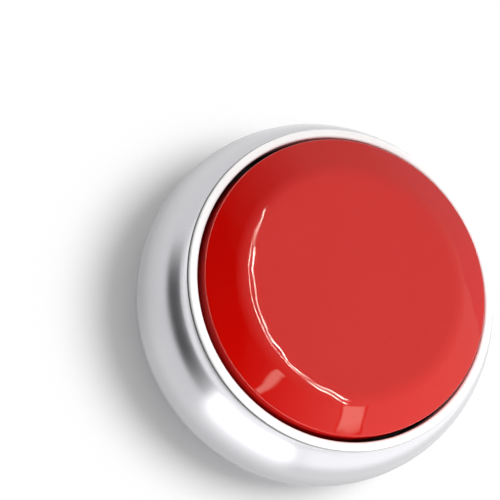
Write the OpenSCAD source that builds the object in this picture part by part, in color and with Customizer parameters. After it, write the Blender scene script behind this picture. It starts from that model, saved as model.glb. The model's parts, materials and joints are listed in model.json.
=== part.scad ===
// Talking clock: a round desk unit with one big push button on top.
// Pressing the red cap speaks the time. The keys, the speaker and the batteries are underneath.
// Millimetres, +Z up, origin on the table in the middle of the rubber feet.

/* [Silver body] */
// Widest diameter of the silver body
body_d = 90; // [89:0.5:94]
// Radius of the arc that the body's side follows
body_arc_r = 33.1; // [32.5:0.1:35]
// Height of the widest circle above the table
widest_z = 19.5; // [19.2:0.1:20]
// Wall of the silver body
shell_wall = 2.2; // [1.8:0.1:2.3]
// Height of the seam between the silver body and the bottom cover
seam_z = 4.4; // [4.2:0.1:4.8]

/* [Collar and bezel ring] */
// How far the collar's foot stands in from the widest circle
collar_in = 4; // [3.8:0.1:4.2]
// Height of the collar's flat top above that foot
collar_h = 1.9; // [1.6:0.1:2.4]
// How far the collar draws in from its foot to its flat top
collar_draft = 1; // [0.7:0.1:1.1]
// Depth of the collar's bore, from its flat top down to the shelf under it
collar_depth = 3.7; // [3.5:0.1:4.2]
// Edge of the collar's flat top that shows outside the white bezel ring
bezel_land = 0.4; // [0.2:0.05:0.6]
// Width of the bezel ring's face
bezel_w = 2.05; // [1.9:0.05:2.2]
// Thickness of the bezel ring's flange
bezel_t = 1; // [0.8:0.1:1.4]
// Wall of the bezel ring's skirt
bezel_wall = 0.7; // [0.6:0.05:0.8]
// Length of the bezel ring's skirt
bezel_skirt = 3.2; // [2.6:0.1:3.4]

/* [Push button] */
// Gap between the red cap and the bezel ring, all round
cap_gap = 1.05; // [0.9:0.05:1.15]
// How far the cap's rim stands above the bezel ring
cap_rim_rise = 1.8; // [1.5:0.1:2.6]
// Width of the sloped band between the cap's rim and its flat top
slope_w = 8.5; // [7:0.5:10]
// Height of the flat top above the cap's rim
plateau_rise = 3.3; // [3:0.1:4]
// Radius that blends the slope into the flat top
plateau_blend_r = 8; // [6:0.5:12]
// Wall of the cap
cap_wall = 2; // [1.6:0.1:2.4]
// How far the button travels when it is pressed
press_travel = 2.5; // [2:0.1:2.6]
// How far the three guide posts stand in from the cap's rim
post_in = 10.5; // [10.1:0.1:10.9]
// Diameter of a guide post
post_d = 4.8; // [4.4:0.1:5.2]
// Diameter of the plunger in the middle
plunger_d = 6; // [5:0.5:7]

/* [Return springs] */
// Length of a return spring at rest
spring_len = 8.5; // [8:0.1:9]
// Wire of a return spring
spring_wire = 0.7; // [0.6:0.05:0.8]
// Turns of a return spring
spring_turns = 6; // [5:1:6]

/* [Button carrier] */
// Thickness of the carrier's floor
carrier_t = 2; // [1.6:0.1:2.4]
// Wall of the carrier's rim
carrier_wall = 1.8; // [1.4:0.1:1.9]
// Diameter of a screw leg under the carrier
leg_d = 6; // [5.6:0.1:6.2]
// How far the screw legs stand in from the widest circle
leg_in = 11.2; // [11:0.1:11.4]

/* [Bottom cover] */
// Height of the cover's underside above the table
cover_z = 1; // [0.8:0.1:1.2]
// Thickness of the cover's floor
cover_t = 2; // [1.9:0.05:2.2]
// How far the cover's tongue reaches up inside the silver body
tongue_h = 1.6; // [1.2:0.1:2]
// Wall of the tongue
tongue_wall = 1.2; // [1:0.1:1.4]
// Diameter of a rubber foot
foot_d = 7; // [6.4:0.1:7.2]
// How far the rubber feet stand in from the widest circle
foot_in = 11.6; // [11.4:0.1:11.8]
// How deep a foot sits in its recess
foot_seat = 0.6; // [0.4:0.1:0.8]

/* [Batteries] */
// Diameter of a battery cell
cell_d = 10.5; // [10.3:0.1:10.6]
// Length of a battery cell with its nub
cell_l = 44.5; // [43.5:0.1:44.7]
// Length of a compressed battery spring
cell_spring = 3.1; // [2.9:0.1:3.2]
// Distance of the battery compartment's centre line from the middle
bay_y = 12.2; // [12.1:0.05:12.3]
// Wall of the battery compartment
bay_wall = 1.2; // [1:0.1:1.3]
// Thickness of the battery door
door_t = 1.15; // [1:0.05:1.2]

/* [Speaker] */
// Diameter of the speaker
speaker_d = 29.5; // [28.5:0.5:29.5]
// Distance of the speaker's centre from the middle
speaker_y = 17.2; // [17:0.1:17.4]
// Depth of the speaker's basket
basket_h = 3.9; // [3.5:0.1:4.5]
// Height of the magnet behind the basket
magnet_h = 3.5; // [3:0.1:4]
// Diameter of a grille hole
grille_hole_d = 2; // [1.6:0.1:2.2]

/* [Setting keys] */
// Diameter of a setting key
key_d = 6.4; // [6:0.1:6.4]
// How far the outer keys stand in from the widest circle
key_in = 14.9; // [14.7:0.05:15.1]
// Distance between the two keys on one side
key_pitch = 9.8; // [9.75:0.05:9.9]
// Distance of the keys from the middle, towards the speaker
key_y = 7; // [6.8:0.1:7.2]
// How far a key travels when it is pressed
key_travel = 0.5; // [0.4:0.05:0.6]
// How deep a key's face lies in the cover
key_recess = 0.4; // [0.3:0.05:0.6]

/* [Circuit board] */
// Thickness of the board
board_t = 1.6; // [1.4:0.1:1.6]
// How far the board's round ends stand in from the widest circle
board_in = 9.5; // [9:0.25:10]
// Front edge of the board
board_front = -17.5; // [-17.8:0.1:-17.4]
// Back edge of the board
board_back = 8.5; // [8.2:0.1:8.5]
// Room over the board for its components
parts_room = 4.4; // [4.2:0.1:5]

/* [Hidden] */
$fn = 96;

// Hairline between flat faces that lie on each other
seat_gap = 0.05;
// Clearance round a fixed piece in its seat
fit_gap = 0.1;
// Clearance round a piece that moves
run_gap = 0.25;
// How far a solid reaches into the one that it is moulded with
bite = 0.5;
// How far a cut runs past the face it opens
over = 1;
round_fn = 180;

// Silver body: its side is one arc, whose centre lies arc_x from the axis
body_r = body_d / 2;
arc_x = body_r - body_arc_r;
inner_arc_r = body_arc_r - shell_wall;
function arc_z(r, arc_r) = widest_z + sqrt(arc_r * arc_r - (r - arc_x) * (r - arc_x));
function arc_r_at(z, arc_r) = arc_x + sqrt(arc_r * arc_r - (z - widest_z) * (z - widest_z));

// Collar and bezel ring
collar_foot_r = body_r - collar_in;
collar_foot_z = arc_z(collar_foot_r, body_arc_r);
collar_top_r = collar_foot_r - collar_draft;
collar_z = collar_foot_z + collar_h;
collar_edge = 0.4;
shelf_z = collar_z - collar_depth;
bezel_r = collar_top_r - bezel_land;
bezel_bore_r = bezel_r - bezel_w;
bezel_skirt_r = bezel_bore_r + bezel_wall;
collar_bore_r = bezel_skirt_r + fit_gap;
bezel_top_z = collar_z + bezel_t;
bezel_round = 0.35;

// Bottom cover
cover_top = cover_z + cover_t;
cover_reveal = 0.3;
cover_edge = 0.6;
tongue_r = arc_r_at(seam_z, inner_arc_r) - fit_gap - seat_gap;
rim_bore_r = tongue_r - tongue_wall;
boss_h = 2;
leg_foot_z = cover_top + boss_h;
boss_wall = 2.9;
foot_r = foot_d / 2;
foot_pitch_r = body_r - foot_in;
foot_edge = 0.4;
foot_land = 1.1;

// Screws, with their heads and cross recesses
screw_r = 1.3;
screw_l = 12;
screw_head_r = 2.6;
screw_head_h = 1.7;
screw_slot = [3.2, 0.7, 0.9];
screw_head_seat = 0.2;
leg_pitch_r = body_r - leg_in;
leg_angles = [22, 158, 220, 320];

// Battery compartment
contact_t = 0.4;
contact_w = 7.6;
contact_h = 7.4;
contact_wire = 0.5;
tail_w = 2;
tail_h = 0.9;
cell_gap = 0.4;
cell_pitch = cell_d + cell_gap;
front_cell_y = bay_y - cell_pitch / 2;
rear_cell_y = bay_y + cell_pitch / 2;
bay_l = cell_l + cell_spring + 2 * contact_t;
bay_w = cell_pitch + cell_d + cell_gap;
cell_z = cover_top + cell_d / 2 + 0.6;
bay_roof_z = cell_z + cell_d / 2 + 0.2;
bay_top = bay_roof_z + 1;
nub_r = 1.9;
nub_h = 0.9;
wrap_edge = 0.4;

// Battery door: a plate on a ledge, with two hooks at one end and a latch at the other
door_ledge = 0.9;
door_gap = 0.2;
door_l = bay_l - 2 * door_gap;
door_seat_w = bay_w + 2 * door_ledge;
door_w = door_seat_w - 2 * door_gap;
door_top = cover_z + door_t;
hinge_x = -door_l / 2 + door_t / 2;
hook_y = bay_w / 2 - 1;
hook_w = 1.8;
hook_out = 1.6;
hook_in = 1.5;
hook_t = 1;
hook_z = cover_top + fit_gap;
latch_w = 8;
latch_t = 0.7;
latch_top = hook_z + hook_t + 0.6;
latch_nose = 0.25;
nose_h = 0.6;
nail_r = 3.2;
nail_depth = 0.8;
grip_w = 0.7;
grip_depth = 0.3;
grip_pitch = 1.6;
grip_lines = 4;

// Feet, whose rear pair stands clear of the door's seat
foot_y = bay_y + door_seat_w / 2 + foot_land + foot_r;
foot_angle = asin(foot_y / foot_pitch_r);
foot_angles = [foot_angle, 180 - foot_angle, 180 + foot_angle, 360 - foot_angle];

// Speaker
speaker_r = speaker_d / 2;
gasket_t = 0.6;
gasket_w = 1.6;
flange_t = 0.8;
flange_w = 2.2;
basket_sheet = 0.6;
speaker_wall = 1.2;
speaker_bore_r = speaker_r + run_gap;
speaker_flange_z = cover_top + gasket_t;
lip_z = speaker_flange_z + flange_t + fit_gap;
lip_w = 4;
lip_in = 0.9;
lip_t = 1;
basket_top = speaker_flange_z + basket_h;
magnet_r = 6.5;
grille_step = 3.6;
grille_rings = 3;
terminal_x = speaker_r - 0.9;
terminal_t = 1.1;
terminal_w = 5.2;
terminal_h = 3;

// Circuit board, over the battery compartment
board_z = bay_top + 1.2;
board_top = board_z + board_t;
board_r = body_r - board_in;
board_post_in = [10, 3.5];
board_post_at = [board_r - board_post_in[0], board_front + board_post_in[1]];
board_post_r = 2.6;
board_screw_r = 0.95;
board_screw_l = 8;
board_head_r = 2.2;
board_head_h = 1.3;
board_slot = [2.6, 0.6, 0.7];
hook_rib_x = 14;
hook_rib_w = 3;
hook_rib_l = 4;
hook_rib_t = 1.1;
hook_lip = 0.8;
chip_at = [-16, -5];
chip_r = 5;
chip_h = 1.7;
crystal_at = [8, -12];
crystal_r = 1;
crystal_l = 6;
capacitor_x = 16;
capacitor_ys = [-9.5, -4];
capacitor_r = 1.9;
capacitor_l = 6;
resistor_at = [-2, -14.5];
resistor_size = [1.2, 2, 0.6];
resistor_pitch = 3;
resistors = 5;

// Button carrier, over the board
carrier_z = board_top + parts_room;
carrier_top = carrier_z + carrier_t;
carrier_r = arc_r_at(shelf_z, inner_arc_r) - 2 * fit_gap;
carrier_bore_r = carrier_r - carrier_wall;
plunger_guide_wall = 1.5;
plunger_guide_h = 4;

// Button
cap_r = bezel_bore_r - cap_gap;
rim_z = bezel_top_z + cap_rim_rise;
rim_round = 0.5;
plateau_z = rim_z + plateau_rise;
plateau_r = cap_r - slope_w;
slope_angle = atan(plateau_rise / slope_w);
skirt_gap = 1;
skirt_z = carrier_top + press_travel + skirt_gap;
roof_z = plateau_z - cap_wall;
rib_t = 2;
rib_gap = 1;
post_pitch_r = cap_r - post_in;
post_angles = [30, 150, 270];
post_r = post_d / 2;
post_z = carrier_z - 0.2;
post_head_r = post_r + 1.4;
post_head_h = 1.6;
post_slot = [3.4, 0.7, 0.9];
post_screw_r = 1;
post_screw_l = 8;

// Return springs, round the posts
spring_r = post_r + run_gap + spring_wire;
spring_seat_z = carrier_top + spring_len;
spring_seat_r = spring_r + spring_wire;
cup_r = spring_r + spring_wire;
cup_wall = 0.8;
cup_h = 1.2;

// Rubber dome between the plunger and the board
dome_r = 6;
dome_top_r = 3.6;
dome_wall = 0.9;
dome_pad = 1.4;
dome_gap = 0.2;
dome_h = press_travel - dome_gap + dome_wall;
plunger_z = board_top + dome_h + dome_gap;

// Setting keys and their switches
key_r = key_d / 2;
key_flange_r = key_r + 0.8;
key_flange_t = 1;
key_stem_r = 1.6;
key_well_r = key_flange_r + 0.3;
key_well_wall = 0.55;
key_well_h = 2.4;
key_face_z = cover_z + key_recess;
key_x = body_r - key_in;
key_centres = [[-key_x, -key_y], [key_pitch - key_x, -key_y],
    [key_x - key_pitch, -key_y], [key_x, -key_y]];
mark_w = 0.8;
mark_l = 3.2;
mark_h = 0.25;
switch_side = 6;
switch_h = 3.5;
switch_z = board_z - switch_h;
pin_r = 1.75;
pin_out = 0.8;
pin_in = 1.2;

// Wires. Each route leaves a contact or a terminal and ends at the board, in steps of wire_bend
wire_r = 0.4;
wire_sides = 8;
wire_bend = 1;
wire_pitch = 2.6;
wire_z = bay_top + wire_r + fit_gap;
board_hole_at = [bay_l / 2 + 4.1 * wire_bend, front_cell_y - 3.75 * wire_bend];
front_wire = [[bay_l / 2 + fit_gap, front_cell_y, wire_z],
    [board_hole_at[0] - 2 * wire_bend, front_cell_y - 0.6 * wire_bend, wire_z],
    [board_hole_at[0] - 0.7 * wire_bend, board_hole_at[1] + 1.8 * wire_bend, wire_z],
    [board_hole_at[0], board_hole_at[1] + 0.6 * wire_bend, wire_z + 0.1 * wire_bend],
    [board_hole_at[0], board_hole_at[1], wire_z + wire_bend],
    [board_hole_at[0], board_hole_at[1], board_top + 0.3 * wire_bend]];
rear_wire_start = bay_l / 2 - contact_t - fit_gap;
rear_wire_x = hook_rib_x + 3.2 * wire_bend;
rear_wire_end_y = board_back - 2.2 * wire_bend;
rear_wire = [[rear_wire_start, rear_cell_y, wire_z],
    [rear_wire_start - 2 * wire_bend, rear_cell_y - 0.7 * wire_bend, wire_z],
    [rear_wire_x + 1.6 * wire_bend, rear_cell_y - 2.9 * wire_bend, wire_z],
    [rear_wire_x, board_back + 3.2 * wire_bend, wire_z + 0.1 * wire_bend],
    [rear_wire_x, board_back + 1.3 * wire_bend, board_top - 0.6 * wire_bend],
    [rear_wire_x, board_back + 0.4 * wire_bend, board_top + wire_bend],
    [rear_wire_x, board_back - 1.4 * wire_bend, board_top + 1.5 * wire_bend],
    [rear_wire_x, rear_wire_end_y, board_top + 0.8 * wire_bend],
    [rear_wire_x, rear_wire_end_y, board_top + 2 * fit_gap]];
terminal_face_x = terminal_x + terminal_t / 2;
speaker_wire_z = lip_z + lip_t + wire_r + 2 * fit_gap;
function speaker_wire(side) = let (y = side * wire_pitch / 2 - speaker_y) [
    [terminal_face_x + 2 * fit_gap, y, speaker_wire_z],
    [terminal_face_x + 1.3 * wire_bend, y + 0.2 * wire_bend, speaker_wire_z + 0.5 * wire_bend],
    [terminal_face_x + 1.9 * wire_bend, y + 1.2 * wire_bend, speaker_wire_z + 3.8 * wire_bend],
    [terminal_face_x + 1.5 * wire_bend, y + 2.2 * wire_bend, board_z - 2.4 * wire_bend],
    [terminal_face_x + 1.5 * wire_bend, y + 2.4 * wire_bend, board_z - fit_gap]];

// Points of an arc about c, from angle a0 to a1
function arc(c, r, a0, a1, n = 8) =
    [for (i = [0:n]) let (a = a0 + (a1 - a0) * i / n) [c[0] + r * cos(a), c[1] + r * sin(a)]];

function unit(v) = v / norm(v);

// One point of the smooth curve from p1 to p2, with their neighbours p0 and p3
function smooth_point(p0, p1, p2, p3, t) =
    0.5 * (2 * p1 + (p2 - p0) * t + (2 * p0 - 5 * p1 + 4 * p2 - p3) * t * t
        + (3 * p1 - p0 - 3 * p2 + p3) * t * t * t);

// The smooth curve through all the points, in steps from each one to the next
function smooth_path(p, steps = 2) = let (last = len(p) - 1) concat(
    [for (i = [0:last - 1]) for (s = [0:steps - 1])
        smooth_point(p[max(i - 1, 0)], p[i], p[i + 1], p[min(i + 2, last)], s / steps)],
    [p[last]]);

// A round tube of radius r along a path; side_way is a direction that the path never takes
module tube(path, r, sides, side_way) {
    last = len(path) - 1;
    rings = [for (i = [0:last]) let (
        along = unit(path[min(i + 1, last)] - path[max(i - 1, 0)]),
        across = unit(cross(along, side_way)),
        up = cross(across, along)
    ) for (k = [0:sides - 1]) let (a = 360 * k / sides)
        path[i] + r * (across * cos(a) + up * sin(a))];
    walls = [for (i = [0:last - 1]) for (k = [0:sides - 1]) let (
        a = i * sides + k, b = i * sides + (k + 1) % sides
    ) for (f = [[a, b, b + sides], [a, b + sides, a + sides]]) f];
    first_end = [[for (k = [sides - 1:-1:0]) k]];
    last_end = [[for (k = [0:sides - 1]) last * sides + k]];
    polyhedron(points = rings, faces = concat(walls, first_end, last_end), convexity = 10);
}

// The path of a coil spring along +Z whose radius goes from r0 to r1
function coil_path(r0, r1, length, turns, steps = 8) = [for (i = [0:turns * steps])
    let (t = i / (turns * steps), a = 360 * turns * t, r = r0 + (r1 - r0) * t)
    [r * cos(a), r * sin(a), length * t]];

// A coil spring that fills length along +Z
module coil_spring(r0, r1, length, turns, wire) {
    translate([0, 0, wire / 2])
        tube(coil_path(r0, r1, length - wire, turns), wire / 2, 6, [0, 0, 1]);
}

// Copies its children to each of the angles on a circle of radius r
module round_row(r, angles) {
    for (a = angles)
        rotate([0, 0, a]) translate([r, 0, 0]) children();
}

// Copies its children to a place and to its mirror image across the middle line
module both_sides(at) {
    for (side = [-1, 1])
        translate([side * at[0], at[1], 0]) children();
}

// A cylinder from height z0 to z1
module pillar(r, z0, z1) {
    translate([0, 0, z0]) cylinder(r = r, h = z1 - z0);
}

// A block centred on x and y, from height z0 to z1
module block(lx, ly, z0, z1) {
    translate([-lx / 2, -ly / 2, z0]) cube([lx, ly, z1 - z0]);
}

// A box given by its lowest and highest corners
module span(low, high) {
    translate(low) cube(high - low);
}

// A cross recess for a screwdriver in a head that faces down, whose underside is at height z.
// Its size is given as length, width and depth.
module cross_slot(z, size) {
    block(size[0], size[1], z - over, z + size[2]);
    block(size[1], size[0], z - over, z + size[2]);
}

// Half section of all that lies inside the body's arc, between two heights
module arc_section(arc_r, z0, z1) {
    intersection() {
        translate([arc_x, widest_z]) circle(r = arc_r, $fn = round_fn);
        translate([0, z0]) square([body_r + over, z1 - z0]);
    }
}

module upper_housing() {
    color([0.74, 0.74, 0.76]) rotate_extrude($fn = round_fn) difference() {
        union() {
            arc_section(body_arc_r, seam_z, collar_foot_z);
            polygon([[0, collar_foot_z - bite], [collar_foot_r - bite, collar_foot_z - bite],
                [collar_foot_r, collar_foot_z],
                [collar_top_r + collar_edge, collar_z - collar_edge],
                [collar_top_r, collar_z], [0, collar_z]]);
        }
        arc_section(inner_arc_r, seam_z - over, shelf_z);
        translate([-over, seam_z - over]) square([collar_bore_r + over, collar_z]);
    }
}

module bezel_ring() {
    round_z = bezel_top_z - bezel_round;
    color([0.95, 0.95, 0.94]) rotate_extrude($fn = round_fn) polygon(concat(
        [[bezel_bore_r, collar_z - bezel_skirt], [bezel_skirt_r, collar_z - bezel_skirt],
            [bezel_skirt_r, collar_z + seat_gap], [bezel_r, collar_z + seat_gap]],
        arc([bezel_r - bezel_round, round_z], bezel_round, 0, 90, 4),
        arc([bezel_bore_r + bezel_round, round_z], bezel_round, 90, 180, 4)));
}

// Outer line of the cap from the middle of its top to its skirt's edge, drawn in by inset
function cap_line(inset) = let (
    blend_r = plateau_blend_r - inset,
    blend_x = plateau_r - plateau_blend_r * tan(slope_angle / 2),
    edge_r = max(rim_round - inset, seat_gap),
    edge_x = cap_r - inset - edge_r,
    top_z = plateau_z - inset,
    slope_run = edge_x + edge_r * sin(slope_angle) - blend_x - blend_r * sin(slope_angle),
    slope_end_z = top_z - blend_r * (1 - cos(slope_angle)) - slope_run * tan(slope_angle)
) concat(
    [[0, top_z]],
    arc([blend_x, top_z - blend_r], blend_r, 90, 90 - slope_angle),
    arc([edge_x, slope_end_z - edge_r * cos(slope_angle)], edge_r, 90 - slope_angle, 0, 4),
    [[cap_r - inset, skirt_z]]);

module button_cap() {
    color([0.80, 0.07, 0.05]) difference() {
        union() {
            rotate_extrude($fn = round_fn) difference() {
                polygon(concat(cap_line(0), [[0, skirt_z]]));
                polygon(concat(cap_line(cap_wall),
                    [[cap_r - cap_wall, skirt_z - over], [0, skirt_z - over]]));
            }
            pillar(plunger_d / 2, plunger_z, roof_z + bite);
            round_row(post_pitch_r, post_angles) {
                pillar(post_r, post_z, spring_seat_z + bite);
                pillar(spring_seat_r, spring_seat_z, roof_z + bite);
            }
            // Six ribs under the flat top, between the plunger and the posts
            for (a = [0:60:300])
                rotate([0, 0, a + post_angles[0]])
                    span([0, -rib_t / 2, spring_seat_z + rib_gap],
                        [post_pitch_r, rib_t / 2, roof_z + bite]);
        }
        round_row(post_pitch_r, post_angles)
            pillar(post_screw_r + seat_gap, post_z - over, post_z + post_screw_l + over);
    }
}

module post_screws() {
    head_z = post_z - post_head_h;
    color([0.72, 0.72, 0.72]) round_row(post_pitch_r, post_angles) difference() {
        union() {
            pillar(post_head_r, head_z, post_z - seat_gap);
            pillar(post_screw_r, post_z - bite, post_z + post_screw_l);
        }
        cross_slot(head_z, post_slot);
    }
}

module return_springs() {
    color([0.78, 0.78, 0.78]) round_row(post_pitch_r, post_angles)
        translate([0, 0, carrier_top + seat_gap])
            coil_spring(spring_r, spring_r, spring_len - 2 * seat_gap, spring_turns, spring_wire);
}

module button_carrier() {
    guide_r = plunger_d / 2 + run_gap;
    color([0.86, 0.86, 0.84]) difference() {
        union() {
            pillar(carrier_r, carrier_z, carrier_top);
            rotate_extrude($fn = round_fn) translate([carrier_bore_r, carrier_z])
                square([carrier_wall, shelf_z - seat_gap - carrier_z]);
            // A cup round the foot of each spring
            round_row(post_pitch_r, post_angles) difference() {
                pillar(cup_r + cup_wall, carrier_top - bite, carrier_top + cup_h);
                pillar(cup_r, carrier_top - bite, carrier_top + cup_h + over);
            }
            round_row(leg_pitch_r, leg_angles)
                pillar(leg_d / 2, leg_foot_z + seat_gap, carrier_z + bite);
            pillar(guide_r + plunger_guide_wall, carrier_top - bite,
                carrier_top + plunger_guide_h);
        }
        round_row(post_pitch_r, post_angles)
            pillar(post_r + run_gap, carrier_z - over, carrier_top + over);
        round_row(leg_pitch_r, leg_angles)
            pillar(screw_r + seat_gap, leg_foot_z - over, leg_foot_z + screw_l);
        pillar(guide_r, carrier_z - over, carrier_top + plunger_guide_h + over);
    }
}

module switch_dome() {
    pad_z = dome_h - dome_pad;
    color([0.55, 0.55, 0.57]) translate([0, 0, board_top]) rotate_extrude() polygon([
        [dome_r - dome_wall, seat_gap], [dome_r + dome_wall, seat_gap],
        [dome_r + dome_wall, dome_wall], [dome_r, dome_wall], [dome_top_r, dome_h],
        [0, dome_h], [0, pad_z], [dome_top_r - dome_wall, pad_z],
        [dome_r - dome_wall, dome_wall]]);
}

module main_board() {
    color([0.10, 0.36, 0.20]) difference() {
        intersection() {
            pillar(board_r, board_z, board_top);
            span([-body_r, board_front, board_z - over], [body_r, board_back, board_top + over]);
        }
        both_sides(board_post_at)
            pillar(board_screw_r + 2 * fit_gap, board_z - over, board_top + over);
        translate(board_hole_at) pillar(wire_r + cell_gap, board_z - over, board_top + over);
    }
}

module board_screws() {
    head_z = board_top + seat_gap;
    color([0.72, 0.72, 0.72]) both_sides(board_post_at) difference() {
        union() {
            pillar(board_head_r, head_z, head_z + board_head_h);
            pillar(board_screw_r, board_top - board_screw_l, head_z + bite);
        }
        translate([0, 0, head_z + board_head_h]) mirror([0, 0, 1]) cross_slot(0, board_slot);
    }
}

module voice_chip() {
    ball_r = (chip_r * chip_r + chip_h * chip_h) / (2 * chip_h);
    color([0.06, 0.06, 0.07]) translate([chip_at[0], chip_at[1], board_top + seat_gap])
        rotate_extrude() intersection() {
            translate([0, chip_h - ball_r]) circle(r = ball_r);
            square([chip_r + over, chip_h + over]);
        }
}

// A small can that lies on the board along X
module lying_can(x, y, r, l) {
    translate([x - l / 2, y, board_top + r + seat_gap]) rotate([0, 90, 0]) cylinder(r = r, h = l);
}

module clock_crystal() {
    color([0.80, 0.80, 0.82]) lying_can(crystal_at[0], crystal_at[1], crystal_r, crystal_l);
}

module capacitors() {
    color([0.12, 0.14, 0.30]) for (y = capacitor_ys)
        lying_can(capacitor_x, y, capacitor_r, capacitor_l);
}

module chip_resistors() {
    z = board_top + seat_gap;
    color([0.15, 0.13, 0.12]) for (i = [0:resistors - 1])
        translate([resistor_at[0] + resistor_pitch * (i - (resistors - 1) / 2), resistor_at[1], 0])
            block(resistor_size[0], resistor_size[1], z, z + resistor_size[2]);
}

module key_switches() {
    well_top = switch_z + pin_in + key_travel + run_gap;
    color([0.10, 0.10, 0.11]) for (c = key_centres) translate(c) difference() {
        block(switch_side, switch_side, switch_z, board_z - seat_gap);
        pillar(pin_r + fit_gap, switch_z - over, well_top);
    }
}

// The pin of one switch, which its key pushes in
module switch_pin(c) {
    color([0.85, 0.85, 0.83]) translate(c) pillar(pin_r, switch_z - pin_out, switch_z + pin_in);
}

// A setting key: its face with a raised mark, its flange, and its stem up to the switch's pin
module key(c) {
    flange_z = cover_top + fit_gap;
    color([0.30, 0.31, 0.33]) translate(c) {
        pillar(key_r, key_face_z, flange_z + bite);
        pillar(key_flange_r, flange_z, flange_z + key_flange_t);
        pillar(key_stem_r, flange_z, switch_z - pin_out - seat_gap);
        translate([0, 0, key_face_z - mark_h]) children();
    }
}

module dot_mark() {
    cylinder(r = mark_w, h = mark_h + bite);
}

module ring_mark() {
    difference() {
        cylinder(r = mark_l / 2, h = mark_h + bite);
        translate([0, 0, -over]) cylinder(r = mark_l / 2 - mark_w, h = mark_h + over);
    }
}

module bar_mark() {
    block(mark_l, mark_w, 0, mark_h + bite);
}

module cross_mark() {
    bar_mark();
    rotate([0, 0, 90]) bar_mark();
}

module mode_key() {
    key(key_centres[0]) dot_mark();
}

module set_key() {
    key(key_centres[1]) ring_mark();
}

module plus_key() {
    key(key_centres[2]) cross_mark();
}

module minus_key() {
    key(key_centres[3]) bar_mark();
}

// Round pan of the cover: its floor, its rim and the tongue inside the silver body
module cover_pan() {
    arc_r = body_arc_r - cover_reveal;
    low_r = arc_r_at(cover_z, arc_r);
    rotate_extrude($fn = round_fn) union() {
        difference() {
            arc_section(arc_r, cover_z, seam_z - seat_gap);
            translate([-over, cover_top]) square([rim_bore_r + over, seam_z]);
            polygon([[low_r - cover_edge, cover_z - over], [low_r - cover_edge, cover_z],
                [low_r + cover_edge, cover_z + cover_edge], [low_r + over, cover_z - over]]);
        }
        translate([rim_bore_r, cover_top - bite])
            square([tongue_wall, seam_z + tongue_h - cover_top + bite]);
    }
}

// Walls and roof of the battery compartment
module bay_walls() {
    translate([0, bay_y, 0]) difference() {
        block(bay_l + 2 * bay_wall, bay_w + 2 * bay_wall, cover_top - bite, bay_top);
        block(bay_l, bay_w, cover_top - over, bay_roof_z);
        for (side = [-1, 1]) {
            // Slots for the door's hooks
            translate([-bay_l / 2 - bay_wall / 2, side * hook_y, 0])
                block(bay_wall + over, hook_w + 2 * run_gap, cover_top, hook_z + hook_t + over);
            // Slots for the solder tails of the contacts
            translate([bay_l / 2 - contact_t / 2, side * cell_pitch / 2, 0])
                block(contact_t + fit_gap, tail_w + 2 * fit_gap, bay_roof_z - over,
                    bay_top + over);
        }
    }
}

// Three lips over the speaker's flange
module speaker_lips() {
    translate([0, -speaker_y, 0])
        for (a = [90, 210, 330])
            rotate([0, 0, a])
                span([speaker_bore_r - lip_in, -lip_w / 2, lip_z],
                    [speaker_bore_r + bite, lip_w / 2, lip_z + lip_t]);
}

// Holes of the speaker's grille: one in the middle, and rings of six, twelve and so on
module grille_holes() {
    translate([0, -speaker_y, 0]) {
        pillar(grille_hole_d / 2, cover_z - over, cover_top + over);
        for (ring = [1:grille_rings])
            round_row(ring * grille_step, [for (i = [0:6 * ring - 1]) 60 * i / ring])
                pillar(grille_hole_d / 2, cover_z - over, cover_top + over);
    }
}

// A rib that the board lies on, and a hook over the board's back edge
module board_hook() {
    hook_back = board_back + hook_rib_t + fit_gap;
    hook_top = board_top + fit_gap + hook_lip;
    span([-hook_rib_w / 2, board_back - hook_rib_l, bay_top - bite],
        [hook_rib_w / 2, board_back + bite, board_z - seat_gap]);
    span([-hook_rib_w / 2, board_back + fit_gap, bay_top - bite],
        [hook_rib_w / 2, hook_back, hook_top]);
    span([-hook_rib_w / 2, board_back - hook_lip, board_top + fit_gap],
        [hook_rib_w / 2, hook_back, hook_top]);
}

module bottom_cover() {
    color([0.70, 0.70, 0.72]) {
        difference() {
            union() {
                cover_pan();
                bay_walls();
                translate([0, -speaker_y, 0])
                    pillar(speaker_bore_r + speaker_wall, cover_top - bite, lip_z + lip_t);
                round_row(leg_pitch_r, leg_angles)
                    pillar(screw_r + boss_wall, cover_top - bite, leg_foot_z);
                for (c = key_centres)
                    translate(c)
                        pillar(key_well_r + key_well_wall, cover_top - bite,
                            cover_top + key_well_h);
                both_sides(board_post_at)
                    pillar(board_post_r, cover_top - bite, board_z - seat_gap);
                both_sides([hook_rib_x, 0]) board_hook();
            }
            for (c = key_centres) translate(c) {
                pillar(key_r + fit_gap, cover_z - over, cover_top + over);
                pillar(key_well_r, cover_top, cover_top + key_well_h + over);
            }
            both_sides(board_post_at)
                pillar(board_screw_r + seat_gap, board_top - board_screw_l - over,
                    board_z + over);
            round_row(leg_pitch_r, leg_angles) {
                pillar(screw_head_r + run_gap, cover_z - over, cover_top + screw_head_seat);
                pillar(screw_r + run_gap, cover_z, leg_foot_z + over);
            }
            round_row(foot_pitch_r, foot_angles)
                pillar(foot_r + fit_gap, cover_z - over, cover_z + foot_seat);
            translate([0, -speaker_y, 0])
                pillar(speaker_bore_r, cover_top, lip_z + lip_t + over);
            grille_holes();
            translate([0, bay_y, 0]) {
                // The opening under the cells, and the wider seat that the door lies in
                block(bay_l, bay_w, cover_z - over, cover_top + over);
                block(bay_l, door_seat_w, cover_z - over, door_top + seat_gap);
                // A notch for a fingernail at the latch
                translate([bay_l / 2, 0, 0])
                    pillar(nail_r, cover_z - over, cover_z + nail_depth);
            }
        }
        speaker_lips();
    }
}

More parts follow.
